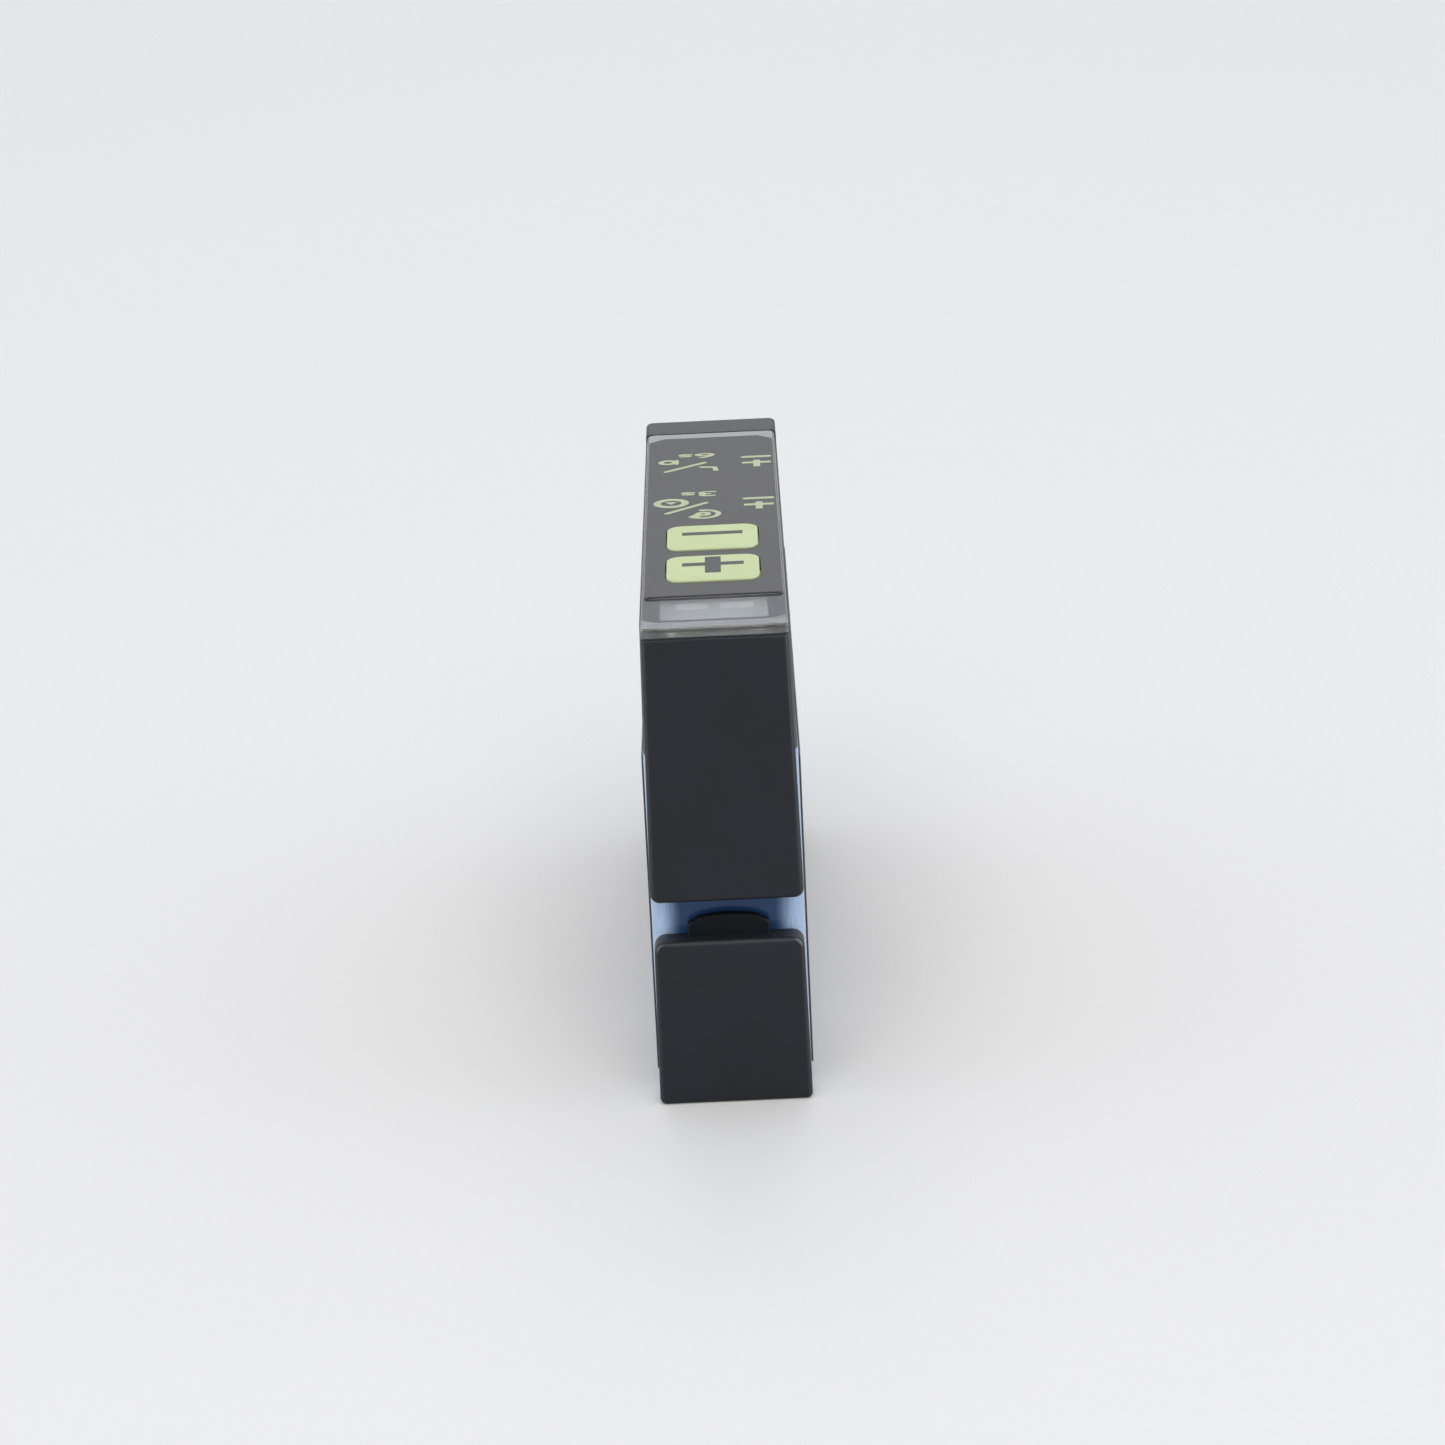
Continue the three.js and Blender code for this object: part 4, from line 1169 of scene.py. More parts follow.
chip_black = moulded_plastic(
    "black moulding compound", (0.012, 0.012, 0.013), (0.020, 0.020, 0.022), (0.04, 0.04, 0.042),
    roughness=(0.45, 0.60), grain_mm=0.06, grain_depth_um=3.0, specular=0.4,
)
low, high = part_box("receiver_diode")
diode = slab(
    "receiver_diode_case", box_corners(low.x, low.z, high.x, high.z, 0.3 * MM),
    low.y + 0.35 * MM, high.y, "Y", 0.1 * MM, 0.05 * MM
)
middle = middle_of("receiver_diode")
eye = 1.4 * MM
window = turned(
    "eye", [(eye, high.y - 0.2 * MM)] + dome_profile(eye, low.y + 0.4 * MM, 0.4 * MM, 10, -1),
    (middle.x, middle.z)
)
fit(smooth_faces(carved(diode, [window], "UNION")), "sensor", "chip", chip_black, "receiver_diode")

low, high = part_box("light_barrier")
barrier = slab(
    "beam_barrier", box_corners(low.x, low.y, high.x, high.y, 0.3 * MM),
    low.z + 0.2 * MM, high.z - 0.2 * MM, "Z", 0.1 * MM, 0.1 * MM
)
ribs = [
    slab(
        "rib", box_corners(low.x + 0.3 * MM, y, high.x - 0.3 * MM, y + 0.6 * MM, 0.2 * MM), low.z, high.z,
        "Z", 0.1 * MM, 0.1 * MM
    )
    for y in (low.y + 1.0 * MM, low.y + 5.5 * MM, high.y - 1.6 * MM)
]
fit(smooth_faces(carved(barrier, ribs, "UNION")), "sensor", "black_plastic", inner_black, "light_barrier")

low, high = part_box("cap_gasket")
lip = 0.5 * MM
bead = 0.15 * MM
rings = []
for inset, z in (
    (bead, low.z), (0.0, low.z + bead), (0.0, high.z - bead), (bead, high.z),
    (lip - bead, high.z), (lip, high.z - bead), (lip, low.z + bead), (lip - bead, low.z),
):
    outline = ring_of_points(box_corners(low.x, low.y, high.x, high.y, 0.9 * MM), inset, 8)
    rings.append([(x, y, z) for x, y in outline])
seal = stacked("cap_seal", rings, open_loop=True)
fit(smooth_faces(seal, 50.0), "sensor", "rubber", rubber, "cap_gasket")


# ---------------------------------------------------------------- circuit boards
# Three green boards: one upright behind the tubes, the main one along the middle, stepped round the
# screw tubes, and one under the keys. Their solder pads and plated holes are tinned.


def make_traces():
    """Copper tracks under the solder mask: bands that change direction from cell to cell."""
    group, start, end = new_group("copper_traces", [("Pitch mm", 0.55)], [("Mask", "NodeSocketFloat")])
    group.interface.new_socket("Plane", in_out="INPUT", socket_type="NodeSocketVector")
    cells = group.nodes.new("ShaderNodeTexVoronoi")
    cells.distance = "CHEBYCHEV"
    cells.inputs["Scale"].default_value = 0.28 / MM
    group.links.new(start.outputs["Plane"], cells.inputs["Vector"])
    pick = group.nodes.new("ShaderNodeSeparateColor")
    group.links.new(cells.outputs["Color"], pick.inputs[0])
    split = group.nodes.new("ShaderNodeSeparateXYZ")
    group.links.new(start.outputs["Plane"], split.inputs[0])
    choose = group.nodes.new("ShaderNodeMix")
    group.links.new(math_node(group, "GREATER_THAN", pick.outputs[0], 0.5), choose.inputs["Factor"])
    group.links.new(split.outputs["X"], choose.inputs["A"])
    group.links.new(split.outputs["Y"], choose.inputs["B"])
    pitch = math_node(group, "MULTIPLY", start.outputs["Pitch mm"], MM)
    phase = math_node(group, "FRACT", math_node(group, "DIVIDE", choose.outputs["Result"], pitch))
    track = math_node(
        group, "LESS_THAN", math_node(group, "ABSOLUTE", math_node(group, "SUBTRACT", phase, 0.5)), 0.22
    )
    used = math_node(group, "GREATER_THAN", pick.outputs[1], 0.25)
    group.links.new(math_node(group, "MULTIPLY", track, used), end.inputs["Mask"])
    return group


TRACES = make_traces()


def board_finish(name, axes):
    """Green solder mask over copper, seen along the board's own plane."""
    material = moulded_plastic(
        name, (0.012, 0.085, 0.032), (0.018, 0.110, 0.042), (0.20, 0.17, 0.08),
        roughness=(0.22, 0.34), grain_mm=0.3, grain_depth_um=1.5, specular=0.5,
    )
    tree = material.node_tree
    surface = tree.nodes["Principled BSDF"]
    where = tree.nodes.new("ShaderNodeTexCoord")
    split = tree.nodes.new("ShaderNodeSeparateXYZ")
    plane = tree.nodes.new("ShaderNodeCombineXYZ")
    tree.links.new(where.outputs["Object"], split.inputs[0])
    tree.links.new(split.outputs[axes[0]], plane.inputs["X"])
    tree.links.new(split.outputs[axes[1]], plane.inputs["Y"])
    tracks = use_group(tree, TRACES)
    tree.links.new(plane.outputs[0], tracks.inputs["Plane"])
    under = surface.inputs["Base Color"].links[0].from_socket
    over = blend_colour(
        tree, math_node(tree, "MULTIPLY", tracks.outputs["Mask"], 0.75), under, (0.040, 0.200, 0.085)
    )
    tree.links.new(over, surface.inputs["Base Color"])
    return material


def bare_metal(name, dark, light, roughness, scratch_scale, depth_um):
    """Bare metal with fine marks drawn out along the way it was turned, drawn or plated."""
    material, tree, surface = new_material(name)
    surface.inputs["Metallic"].default_value = 1.0
    where = tree.nodes.new("ShaderNodeTexCoord")
    flow = tree.nodes.new("ShaderNodeMapping")
    flow.inputs["Scale"].default_value = [value / MM for value in scratch_scale]
    marks = tree.nodes.new("ShaderNodeTexNoise")
    marks.inputs["Detail"].default_value = 4.0
    tree.links.new(where.outputs["Object"], flow.inputs["Vector"])
    tree.links.new(flow.outputs["Vector"], marks.inputs["Vector"])
    clouds = use_group(tree, GRAIN, Cloud_Size_mm=2.5)
    edges = use_group(tree, EDGE_POLISH, Width_mm=0.12)
    tone = blend_colour(tree, clouds.outputs["Cloud"], dark, light)
    tree.links.new(
        blend_colour(tree, edges.outputs["Mask"], tone, (0.92, 0.90, 0.86)), surface.inputs["Base Color"]
    )
    tree.links.new(ranged(tree, marks.outputs["Fac"], *roughness), surface.inputs["Roughness"])
    add_bump(tree, surface, marks.outputs["Fac"], depth_um * MM * MM)
    return material


tin = bare_metal("tinned copper", (0.62, 0.62, 0.60), (0.75, 0.75, 0.73), (0.25, 0.40), (3.0, 3.0, 3.0), 2.0)


def new_tree(name, inputs):
    """A geometry node tree with named inputs, its two ends and the nodes that close it."""
    tree = bpy.data.node_groups.new(name, "GeometryNodeTree")
    for label, kind in inputs:
        tree.interface.new_socket(label, in_out="INPUT", socket_type=kind)
    tree.interface.new_socket("Mesh", in_out="OUTPUT", socket_type="NodeSocketGeometry")
    start = tree.nodes.new("NodeGroupInput")
    place = tree.nodes.new("GeometryNodeInstanceOnPoints")
    part = tree.nodes.new("GeometryNodeObjectInfo")
    solid = tree.nodes.new("GeometryNodeRealizeInstances")
    finish = tree.nodes.new("GeometryNodeSetMaterial")
    end = tree.nodes.new("NodeGroupOutput")
    tree.links.new(start.outputs["Part"], part.inputs["Object"])
    tree.links.new(part.outputs["Geometry"], place.inputs["Instance"])
    tree.links.new(place.outputs["Instances"], solid.inputs[0])
    tree.links.new(solid.outputs[0], finish.inputs["Geometry"])
    tree.links.new(start.outputs["Finish"], finish.inputs["Material"])
    tree.links.new(finish.outputs["Geometry"], end.inputs[0])
    return tree, start, place


def row_tree():
    """The same part again and again, a step apart."""
    tree, start, place = new_tree("row_of_parts", (
        ("Part", "NodeSocketObject"), ("Finish", "NodeSocketMaterial"), ("Count", "NodeSocketInt"),
        ("Start", "NodeSocketVector"), ("Step", "NodeSocketVector"),
    ))
    line = tree.nodes.new("GeometryNodeMeshLine")
    tree.links.new(start.outputs["Count"], line.inputs["Count"])
    tree.links.new(start.outputs["Start"], line.inputs["Start Location"])
    tree.links.new(start.outputs["Step"], line.inputs["Offset"])
    tree.links.new(line.outputs["Mesh"], place.inputs["Points"])
    return tree


def scatter_tree():
    """Parts dealt out over a grid of holes, a share of them left out."""
    tree, start, place = new_tree("scattered_parts", (
        ("Part", "NodeSocketObject"), ("Finish", "NodeSocketMaterial"), ("Length", "NodeSocketFloat"),
        ("Width", "NodeSocketFloat"), ("Along", "NodeSocketInt"), ("Across", "NodeSocketInt"),
        ("Share", "NodeSocketFloat"), ("Seed", "NodeSocketInt"),
    ))
    grid = tree.nodes.new("GeometryNodeMeshGrid")
    pairs = (("Length", "Size X"), ("Width", "Size Y"), ("Along", "Vertices X"), ("Across", "Vertices Y"))
    for label, socket in pairs:
        tree.links.new(start.outputs[label], grid.inputs[socket])
    draw = tree.nodes.new("FunctionNodeRandomValue")
    draw.data_type = "BOOLEAN"
    tree.links.new(start.outputs["Share"], draw.inputs["Probability"])
    tree.links.new(start.outputs["Seed"], draw.inputs["Seed"])
    chosen = [socket for socket in draw.outputs if socket.type == "BOOLEAN"][0]
    tree.links.new(chosen, place.inputs["Selection"])
    tree.links.new(grid.outputs["Mesh"], place.inputs["Points"])
    return tree


def ring_tree():
    """Parts set round a circle about the Z axis, each turned to face outwards."""
    tree, start, place = new_tree("ring_of_parts", (
        ("Part", "NodeSocketObject"), ("Finish", "NodeSocketMaterial"), ("Count", "NodeSocketInt"),
        ("Radius", "NodeSocketFloat"),
    ))
    circle = tree.nodes.new("GeometryNodeMeshCircle")
    tree.links.new(start.outputs["Count"], circle.inputs["Vertices"])
    tree.links.new(start.outputs["Radius"], circle.inputs["Radius"])
    index = tree.nodes.new("GeometryNodeInputIndex")
    share = math_node(tree, "DIVIDE", index.outputs[0], start.outputs["Count"])
    turn = tree.nodes.new("ShaderNodeCombineXYZ")
    tree.links.new(math_node(tree, "MULTIPLY", share, 2 * math.pi), turn.inputs["Z"])
    spin = tree.nodes.new("FunctionNodeEulerToRotation")
    tree.links.new(turn.outputs[0], spin.inputs[0])
    tree.links.new(spin.outputs[0], place.inputs["Rotation"])
    tree.links.new(circle.outputs["Mesh"], place.inputs["Points"])
    return tree


ROW = row_tree()
SCATTER = scatter_tree()
RING = ring_tree()


def grown(tree, part, finish, turn=None, **values):
    """The plain mesh that a node tree makes of a part. The part is used up."""
    holder = bpy.data.objects.new(tree.name, bpy.data.meshes.new(tree.name))
    scene.collection.objects.link(holder)
    grow = holder.modifiers.new(tree.name, "NODES")
    grow.node_group = tree
    values.update(Part=part, Finish=finish)
    for item in tree.interface.items_tree:
        if item.in_out == "INPUT":
            grow[item.identifier] = values[item.name]
    evaluated(holder)
    mesh = holder.data
    if turn:
        mesh.transform(turn)
    bpy.data.objects.remove(holder)
    bpy.data.objects.remove(part)
    return mesh


def with_parts(piece, finish, meshes):
    """Adds loose metal parts to a piece as its second finish."""
    piece.data.materials.append(finish)
    work = bmesh.new()
    work.from_mesh(piece.data)
    for mesh in meshes:
        first = len(work.faces)
        work.from_mesh(mesh)
        work.faces.ensure_lookup_table()
        for face in work.faces[first:]:
            face.material_index = 1
            face.smooth = False
    work.to_mesh(piece.data)
    work.free()
    return piece


def eyelet(thickness):
    """A plated hole: a low tin ring that shows on both faces of its board."""
    proud = 0.02 * MM
    outer = 0.32 * MM
    inner = 0.16 * MM
    half = thickness / 2 + proud
    profile = [(inner, -half), (outer, -half), (outer, half), (inner, half), (inner, -half)]
    return turned("eyelet", profile, (0.0, 0.0), "Z", 12)


UPRIGHT = Matrix.Rotation(math.pi / 2, 4, "X")
SIDEWAYS = Matrix(((0, 0, 1, 0), (1, 0, 0, 0), (0, 1, 0, 0), (0, 0, 0, 1)))
BOARDS = (
    ("optics_board", "Y", "XZ", 0.3, 12, (8, 24), UPRIGHT),
    ("main_board", "X", "YZ", 0.16, 5, (30, 16), SIDEWAYS),
    ("keypad_board", "Z", "XY", 0.14, 9, (8, 40), Matrix.Identity(4)),
)
low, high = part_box("main_board")
STEP_FRONT = (front_face + 25.2 * MM, 9.2 * MM)
STEP_REAR = (front_face + 54.2 * MM, 17.6 * MM)
corner = 0.4 * MM
main_corners = [
    (low.y, STEP_FRONT[1], corner), (*STEP_FRONT, corner),
    (STEP_FRONT[0], low.z, corner), (high.y, low.z, corner),
    (high.y, STEP_REAR[1], corner), (*STEP_REAR, corner),
    (STEP_REAR[0], high.z, corner), (low.y, high.z, corner),
]
for node, axis, plane, share, seed, (along, across), turn in BOARDS:
    low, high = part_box(node)
    if node == "main_board":
        corners = main_corners
    elif node == "optics_board":
        corners = box_corners(low.x, low.z, high.x, high.z, 0.5 * MM)
    else:
        corners = box_corners(low.x, low.y, high.x, high.y, 0.5 * MM)
    index = "XYZ".index(axis)
    board = slab(f"{node}_laminate", corners, low[index], high[index], axis, 0.04 * MM, 0.04 * MM)
    fit(board, "sensor", "board", board_finish(f"{node} mask", plane), node)
    hole_low, hole_high = low, high
    if node == "main_board":
        hole_low = Vector((low.x, low.y, STEP_FRONT[1]))
        hole_high = Vector((high.x, STEP_REAR[0], high.z))
    size = hole_high - hole_low
    first, second = ("XYZ".index(letter) for letter in plane)
    edge = 2.0 * MM
    holes = grown(
        SCATTER, eyelet(high[index] - low[index]), tin,
        turn=Matrix.Translation((hole_low + hole_high) / 2) @ turn,
        Length=size[first] - edge, Width=size[second] - edge, Along=along, Across=across, Share=share,
        Seed=seed,
    )
    with_parts(board, tin, [holes])


# ---------------------------------------------------------------- parts on the boards
# Moulded chips with tinned gull-wing leads, a shielded coil, two aluminium capacitors, a white pin
# header and a flat ribbon, all soldered to the main board.

BOARD_FACE = 0.4 * MM


def gull_lead(away, side):
    """One bent lead of a chip on the main board, its foot on the board, pointing away from the body."""
    profile = [
        (-0.1, 0.50), (0.22, 0.50), (0.38, 0.14), (0.70, 0.14), (0.70, 0.02), (0.30, 0.02), (0.14, 0.38),
        (-0.1, 0.38)
    ]
    half = 0.11 * MM
    outward = Vector(away)
    across = Vector((1.0, 0.0, 0.0)).cross(outward)
    work = bmesh.new()
    rows = []
    for shift in (-half, half):
        row = []
        for out, up in profile:
            point = outward * (out * MM) + across * shift + Vector((side * up * MM, 0.0, 0.0))
            row.append(work.verts.new(point))
        rows.append(row)
    for i in range(len(profile)):
        j = (i + 1) % len(profile)
        work.faces.new((rows[0][i], rows[0][j], rows[1][j], rows[1][i]))
    work.faces.new(rows[0])
    work.faces.new(rows[1])
    return new_piece("lead", work)


def make_chip(node, side, pitch, all_round):
    low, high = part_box(node)
    corners = box_corners(low.y, low.z, high.y, high.z, 0.15 * MM)
    chip = slab(f"{node}_case", corners, low.x, high.x, "X", 0.1 * MM, 0.1 * MM)
    top = high.x if side > 0 else low.x
    dot = rod(
        "dot", 0.35 * MM, top - 0.08 * MM, top + 0.08 * MM, (low.y + 0.9 * MM, high.z - 0.9 * MM), "X", 20
    )
    smooth_faces(carved(chip, [dot]))
    edges = [(Vector((0, 0, 1)), high.z, "y"), (Vector((0, 0, -1)), low.z, "y")]
    if all_round:
        edges += [(Vector((0, 1, 0)), high.y, "z"), (Vector((0, -1, 0)), low.y, "z")]
    meshes = []
    for away, at, line in edges:
        start, stop = (low.y, high.y) if line == "y" else (low.z, high.z)
        count = int((stop - start - 0.8 * MM) / pitch)
        first = (start + stop) / 2 - pitch * (count - 1) / 2
        origin = (side * BOARD_FACE, first, at) if line == "y" else (side * BOARD_FACE, at, first)
        step = (0.0, pitch, 0.0) if line == "y" else (0.0, 0.0, pitch)
        meshes.append(grown(ROW, gull_lead(away, side), tin, Count=count, Start=origin, Step=step))
    return chip, meshes


CHIPS = (
    ("controller_chip", 1, 0.5 * MM, True),
    ("receiver_chip", -1, 0.65 * MM, True),
    ("driver_chip", -1, 1.0 * MM, False),
)
for node, side, pitch, all_round in CHIPS:
    chip, leads = make_chip(node, side, pitch, all_round)
    fit(chip, "sensor", "chip", chip_black, node)
    with_parts(chip, tin, leads)

ferrite = moulded_plastic(
    "ferrite", (0.030, 0.029, 0.028), (0.045, 0.044, 0.042), (0.08, 0.08, 0.08),
    roughness=(0.50, 0.65), grain_mm=0.12, grain_depth_um=6.0, specular=0.4,
)
low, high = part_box("coil")
coil = slab(
    "power_coil", box_corners(low.y, low.z, high.y, high.z, 0.9 * MM), low.x, high.x, "X", 0.15 * MM,
    0.15 * MM
)
middle = middle_of("coil")
groove = turned("groove", [
    (1.55 * MM, high.x + 0.1 * MM), (1.85 * MM, high.x + 0.1 * MM), (1.85 * MM, high.x - 0.15 * MM),
    (1.55 * MM, high.x - 0.15 * MM), (1.55 * MM, high.x + 0.1 * MM),
], (middle.y, middle.z), "X")
fit(smooth_faces(carved(coil, [groove])), "sensor", "chip", ferrite, "coil")

aluminium = bare_metal(
    "drawn aluminium", (0.60, 0.61, 0.62), (0.74, 0.75, 0.76), (0.22, 0.36), (0.3, 6.0, 6.0), 1.5
)
for name in ("supply", "output"):
    node = f"capacitor_{name}"
    low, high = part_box(node)
    middle = middle_of(node)
    radius = (high.z - low.z) / 2
    base = high.x
    top = low.x
    round_edge = 0.25 * MM
    profile = [
        (0.0, base), (radius - 0.15 * MM, base), (radius, base - 0.15 * MM), (radius, base - 0.9 * MM),
        (radius - 0.22 * MM, base - 1.1 * MM), (radius, base - 1.3 * MM), (radius, top + round_edge),
    ]
    for i in range(1, 5):
        angle = math.pi / 2 * i / 4
        profile.append(
            (radius - round_edge * (1 - math.cos(angle)), top + round_edge * (1 - math.sin(angle)))
        )
    profile.append((0.0, top))
    can = turned(f"{node}_can", profile, (middle.y, middle.z), "X", 40)
    vent = [
        slab("vent", [(middle.y - a, middle.z - b, 0.05 * MM), (middle.y + a, middle.z - b, 0.05 * MM),
                      (middle.y + a, middle.z + b, 0.05 * MM), (middle.y - a, middle.z + b, 0.05 * MM)],
             top - 0.1 * MM, top + 0.08 * MM, "X", steps=2)
        for a, b in ((1.3 * MM, 0.1 * MM), (0.1 * MM, 1.3 * MM))
    ]
    fit(smooth_faces(carved(can, vent)), "sensor", "capacitor", aluminium, node)

white_plastic = moulded_plastic(
    "white moulded plastic", (0.66, 0.66, 0.63), (0.74, 0.74, 0.71), (0.82, 0.82, 0.80),
    roughness=(0.35, 0.48), grain_mm=0.15, grain_depth_um=3.0, specular=0.45,
)
gold = bare_metal(
    "gold plated pin", (0.80, 0.58, 0.22), (0.90, 0.70, 0.32), (0.16, 0.30), (0.4, 6.0, 0.4), 0.8
)
low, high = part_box("board_header")
header = slab(
    "board_header_shroud", box_corners(low.y, low.z, high.y, high.z, 0.2 * MM), low.x, high.x, "X",
    0.06 * MM, 0.08 * MM
)
trough = box_corners(low.y + 0.5 * MM, low.z + 0.5 * MM, high.y - 0.5 * MM, high.z - 0.5 * MM, 0.15 * MM)
carved(header, [slab("trough", trough, low.x + 0.6 * MM, high.x + WALL, "X")])
pin_corners = box_corners(-0.16 * MM, -0.16 * MM, 0.16 * MM, 0.16 * MM, 0.03 * MM)
pin = slab("pin", pin_corners, 0.0, high.x - low.x - 0.4 * MM, "X", 0.0, 0.08 * MM, steps=2)
middle = middle_of("board_header")
pins = grown(
    ROW, pin, gold, Count=6, Start=(low.x + 0.2 * MM, middle.y, low.z + 1.1 * MM),
    Step=(0.0, 0.0, 1.16 * MM)
)
fit(smooth_faces(header), "sensor", "white_plastic", white_plastic, "board_header")
with_parts(header, gold, [pins])

ribbon_film = moulded_plastic(
    "amber ribbon film", (0.36, 0.16, 0.035), (0.44, 0.21, 0.05), (0.55, 0.34, 0.14),
    roughness=(0.18, 0.28), grain_mm=0.4, grain_depth_um=1.0, specular=0.5,
)
low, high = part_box("ribbon")
thickness = 0.18 * MM
bends = []
for i in range(17):
    t = i / 16
    y = low.y + (high.y - low.y - thickness) * (3 * t * t - 2 * t * t * t)
    bends.append((y, low.z + (high.z - low.z) * t))
ribbon = stacked("flat_ribbon", [
    [(x, y + thick, z) for x, thick in ((low.x, 0.0), (high.x, 0.0), (high.x, thickness), (low.x, thickness))]
    for y, z in bends
])
fit(smooth_faces(ribbon), "sensor", "ribbon", ribbon_film, "ribbon")
ribbon_tree = ribbon_film.node_tree
where = ribbon_tree.nodes.new("ShaderNodeTexCoord")
across = ribbon_tree.nodes.new("ShaderNodeSeparateXYZ")
ribbon_tree.links.new(where.outputs["Object"], across.inputs[0])
phase = math_node(ribbon_tree, "FRACT", math_node(ribbon_tree, "DIVIDE", across.outputs["X"], 0.6 * MM))
track = math_node(ribbon_tree, "LESS_THAN", phase, 0.5)
ribbon_surface = ribbon_tree.nodes["Principled BSDF"]
under = ribbon_surface.inputs["Base Color"].links[0].from_socket
ribbon_tree.links.new(
    blend_colour(ribbon_tree, track, under, (0.62, 0.33, 0.10)), ribbon_surface.inputs["Base Color"]
)

for name in ("plus", "minus"):
    node = f"switch_{name}"
    low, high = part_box(node)
    middle = middle_of(node)
    switch = slab(
        f"{node}_case", box_corners(low.x, low.y, high.x, high.y, 0.4 * MM), low.z, high.z, "Z", 0.05 * MM,
        0.08 * MM
    )
    well = rod("well", 1.2 * MM, high.z - 0.8 * MM, high.z + WALL, (middle.x, middle.y), "Z", 32)
    fit(smooth_faces(carved(switch, [well])), "sensor", "chip", chip_black, node)
    stud = 0.28 * MM
    rivet = turned(
        "rivet",
        [
            (0.0, -0.04 * MM), (stud, -0.04 * MM), (stud, 0.01 * MM),
            (stud * 0.6, 0.035 * MM), (0.0, 0.04 * MM),
        ],
        (0.0, 0.0), "Z", 12
    )
    lift = Matrix.Translation((middle.x, middle.y, high.z)) @ Matrix.Rotation(math.pi / 4, 4, "Z")
    with_parts(switch, tin, [grown(RING, rivet, tin, turn=lift, Count=4, Radius=2.35 * MM)])

    node = f"switch_button_{name}"
    low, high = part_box(node)
    radius = high.x
    edge = 0.15 * MM
    profile = [(0.0, low.z), (radius, low.z), (radius, high.z - edge)]
    for i in range(1, 5):
        angle = math.pi / 2 * i / 4
        profile.append((radius - edge * (1 - math.cos(angle)), high.z - edge * (1 - math.sin(angle))))
    profile.append((0.0, high.z))
    button = turned(f"{node}_plunger", profile, (middle.x, middle.y), "Z", 32)
    fit(smooth_faces(button), f"key_{name}", "white_plastic", white_plastic, node)


# ---------------------------------------------------------------- screw bushes
# Two turned steel sleeves are moulded into the housing for the mounting screws. Their ends are
# flush with its sides and chamfered inside.

steel = bare_metal(
    "turned steel", (0.50, 0.50, 0.51), (0.64, 0.64, 0.65), (0.24, 0.40), (7.0, 0.35, 0.35), 2.0
)
for name in ("front", "rear"):
    node = f"mounting_bush_{name}"
    low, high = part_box(node)
    middle = middle_of(node)
    outer = 2.55 * MM
    inner = 2.1 * MM
    chamfer = 0.2 * MM
    edge = 0.08 * MM
    profile = [
        (inner, low.x + chamfer), (inner + chamfer, low.x), (outer - edge, low.x), (outer, low.x + edge),
        (outer, high.x - edge), (outer - edge, high.x), (inner + chamfer, high.x), (inner, high.x - chamfer),
        (inner, low.x + chamfer),
    ]
    bush = turned(f"{node}_sleeve", profile, (middle.y, middle.z), "X", 64)
    fit(smooth_faces(bush, 25.0), "sensor", "steel", steel, node)


# ---------------------------------------------------------------- plug
# A threaded M8 plug of nickel plated brass goes through the rear wall. Its knurled flange bears on
# a rubber ring outside, a hexagon nut holds it inside, and four gold pins stand in a black insert.

nickel = bare_metal(
    "nickel plate", (0.60, 0.58, 0.54), (0.72, 0.69, 0.64), (0.14, 0.30), (0.5, 5.0, 0.5), 1.2
)
shell_low, shell_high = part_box("connector_shell")
plug_middle = middle_of("connector_shell")
plug_axis = (plug_middle.x, plug_middle.z)
THREAD_RADIUS = 3.95 * MM
THREAD_DEPTH = 0.5 * MM
THREAD_PITCH = 1.0 * MM
BORE_RADIUS = 2.9 * MM


def make_thread():
    """The open half of the shell: a true helical thread that runs out at both ends."""
    flange_rear = housing_high.y + 1.75 * MM
    start = flange_rear + 0.7 * MM
    stop = shell_high.y - 0.45 * MM
    steps = 64
    per_turn = 10
    count = int((stop - start) / THREAD_PITCH * per_turn)
    work = bmesh.new()
    rows = []

    def add_ring(along, radius_at):
        ring = []
        for i in range(steps):
            share = i / steps
            radius = radius_at(share)
            angle = 2 * math.pi * share
            ring.append(work.verts.new((
                plug_axis[0] + radius * math.sin(angle), along, plug_axis[1] + radius * math.cos(angle),
            )))
        rows.append(ring)

    add_ring(flange_rear - 0.6 * MM, lambda share: BORE_RADIUS)
    add_ring(flange_rear - 0.6 * MM, lambda share: THREAD_RADIUS - THREAD_DEPTH)
    for k in range(count + 1):
        along = start + (stop - start) * k / count
        fade = min(1.0, k / per_turn, (count - k) / (per_turn * 0.8))

        def radius_at(share):
            phase = (along / THREAD_PITCH + share) % 1.0
            height = min(1.0, max(0.0, 1.25 - 2.5 * abs(2 * phase - 1) / 2))
            return THREAD_RADIUS - THREAD_DEPTH + THREAD_DEPTH * min(1.0, height * 1.15) * fade

        add_ring(along, radius_at)
    add_ring(shell_high.y, lambda share: THREAD_RADIUS - THREAD_DEPTH - 0.05 * MM)
    add_ring(shell_high.y, lambda share: BORE_RADIUS + 0.12 * MM)
    add_ring(shell_high.y - 0.12 * MM, lambda share: BORE_RADIUS)
    for lower, upper in zip(rows, rows[1:] + rows[:1]):
        for i in range(steps):
            j = (i + 1) % steps
            work.faces.new((lower[i], lower[j], upper[j], upper[i]))
    return new_piece("thread", work)


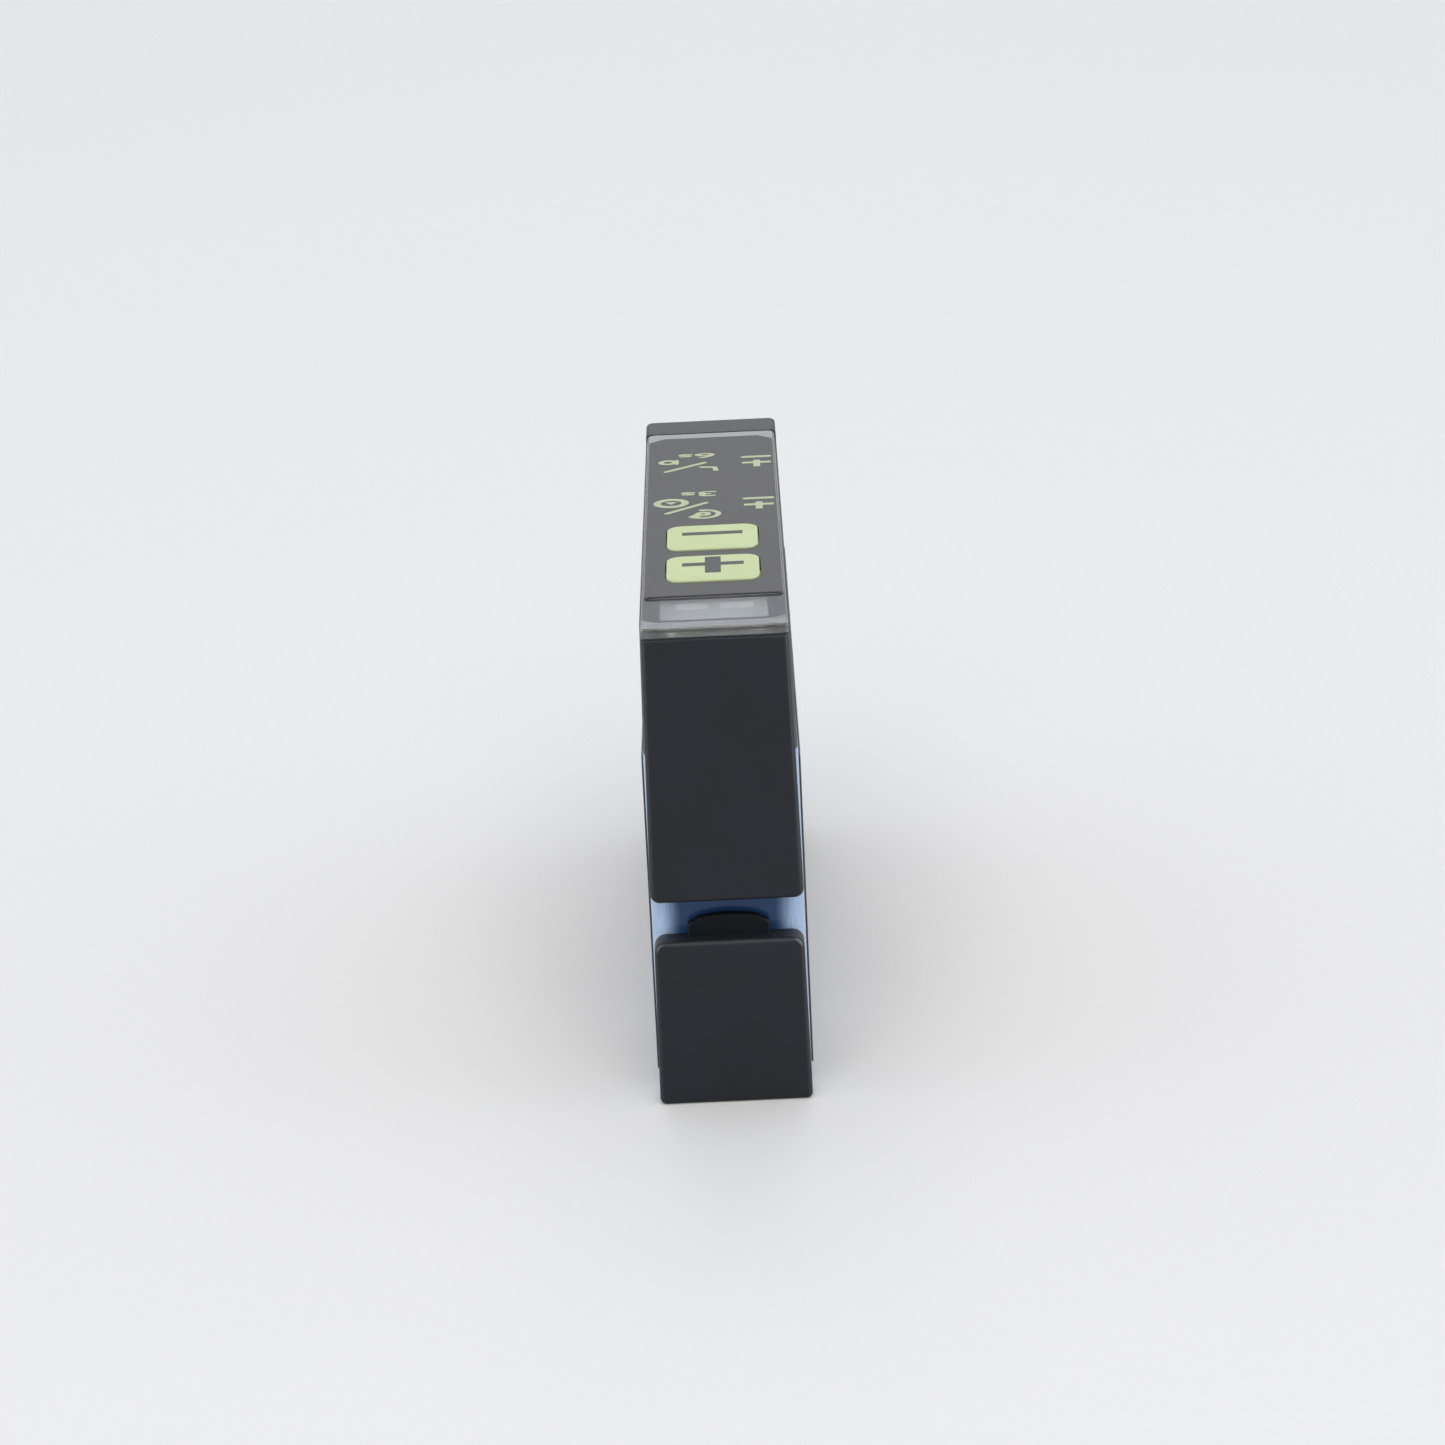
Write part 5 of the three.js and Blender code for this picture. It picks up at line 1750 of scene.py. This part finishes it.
def make_plug_shell():
    flange_front = housing_high.y + 0.35 * MM
    flange_rear = housing_high.y + 1.75 * MM
    flange = shell_high.x
    edge = 0.15 * MM
    tooth_depth = 0.18 * MM
    profile = [
        (BORE_RADIUS, shell_low.y), (THREAD_RADIUS, shell_low.y), (THREAD_RADIUS, flange_front),
        (flange - tooth_depth - edge, flange_front), (flange - tooth_depth, flange_front + edge),
        (flange - tooth_depth, flange_rear - edge), (flange - tooth_depth - edge, flange_rear),
        (THREAD_RADIUS - THREAD_DEPTH, flange_rear), (THREAD_RADIUS - THREAD_DEPTH, flange_rear + 0.1 * MM),
        (BORE_RADIUS, flange_rear + 0.1 * MM), (BORE_RADIUS, shell_low.y),
    ]
    shell = turned("plug_shell", profile, plug_axis, steps=64)
    carved(shell, [make_thread()], "UNION")
    smooth_faces(shell, 40.0)
    half = math.pi * flange / 40 * 0.42
    tooth = slab("tooth", [(-half, flange_front + edge, 0.02 * MM), (half, flange_front + edge, 0.02 * MM),
                           (half, flange_rear - edge, 0.02 * MM), (-half, flange_rear - edge, 0.02 * MM)],
                 -0.1 * MM, tooth_depth, "Z", 0.0, 0.1 * MM, steps=2, edge_steps=2)
    # Stand the tooth on the X axis, pointing outwards, its length along Z.
    tooth.data.transform(Matrix(((0, 0, 1, 0), (1, 0, 0, 0), (0, 1, 0, 0), (0, 0, 0, 1))))
    about_y = Matrix.Translation((plug_axis[0], 0.0, plug_axis[1])) @ Matrix.Rotation(-math.pi / 2, 4, "X")
    teeth = grown(RING, tooth, nickel, turn=about_y, Count=40, Radius=flange - tooth_depth)
    return shell, teeth


shell, teeth = make_plug_shell()
fit(shell, "sensor", "nickel", nickel, "connector_shell")
with_parts(shell, nickel, [teeth])

low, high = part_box("connector_seal")
outer = high.x
inner = THREAD_RADIUS + 0.1 * MM
bulge = 0.08 * MM
profile = [
    (inner, low.y), (outer - bulge, low.y), (outer, (low.y + high.y) / 2),
    (outer - bulge, high.y), (inner, high.y), (inner, low.y),
]
fit(
    smooth_faces(turned("plug_seal", profile, plug_axis, steps=64), 60.0), "sensor", "rubber", rubber,
    "connector_seal"
)

low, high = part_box("connector_nut")
flat = 4.6 * MM
hexagon = []
for i in range(6):
    angle = math.radians(60 * i)
    reach = flat / math.cos(math.radians(30))
    hexagon.append(
        (plug_axis[0] + reach * math.sin(angle), plug_axis[1] + reach * math.cos(angle), 0.15 * MM)
    )
nut = slab("plug_nut", hexagon, low.y, high.y, "Y", 0.2 * MM, 0.2 * MM)
nut_bore = rod("nut_bore", THREAD_RADIUS + 0.05 * MM, low.y, high.y, plug_axis, "Y", 48, flare=0.15 * MM)
fit(smooth_faces(carved(nut, [nut_bore])), "sensor", "nickel", nickel, "connector_nut")

low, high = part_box("connector_insert")
radius = high.x
edge = 0.12 * MM
face = high.y
profile = [
    (0.0, low.y), (radius - edge, low.y), (radius, low.y + edge), (radius, face - edge),
    (radius - edge, face),
    (radius - 0.45 * MM, face), (radius - 0.55 * MM, face - 0.15 * MM), (0.0, face - 0.15 * MM),
]
insert = turned("plug_insert", profile, plug_axis, steps=48)
pin_nodes = [f"connector_pin_{i}" for i in range(1, 5)]
tools = []
for node in pin_nodes:
    spot = middle_of(node)
    tools.append(rod("pin_hole", 0.55 * MM, low.y - WALL, high.y + WALL, (spot.x, spot.z), "Y", 24))
key_notch = box_corners(-0.35 * MM, plug_axis[1] + 2.2 * MM, 0.35 * MM, plug_axis[1] + 3.2 * MM, 0.1 * MM)
tools.append(slab("key_notch", key_notch, high.y - 2.0 * MM, high.y + WALL, "Y", steps=3))
fit(smooth_faces(carved(insert, tools)), "sensor", "black_plastic", inner_black, "connector_insert")

for node in pin_nodes:
    low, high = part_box(node)
    spot = middle_of(node)
    radius = 0.5 * MM
    tip = 0.45 * MM
    profile = [(0.0, low.y), (radius * 0.8, low.y), (radius, low.y + 0.1 * MM), (radius, high.y - tip)]
    profile += [
        (
            radius * (1 - 0.75 * (1 - math.cos(math.pi / 2 * i / 5))),
            high.y - tip + tip * math.sin(math.pi / 2 * i / 5)
        )
        for i in range(1, 6)
    ]
    profile.append((0.0, high.y))
    contact = turned(f"{node}_contact", profile, (spot.x, spot.z), "Y", 24)
    fit(smooth_faces(contact), "sensor", "gold", gold, node)
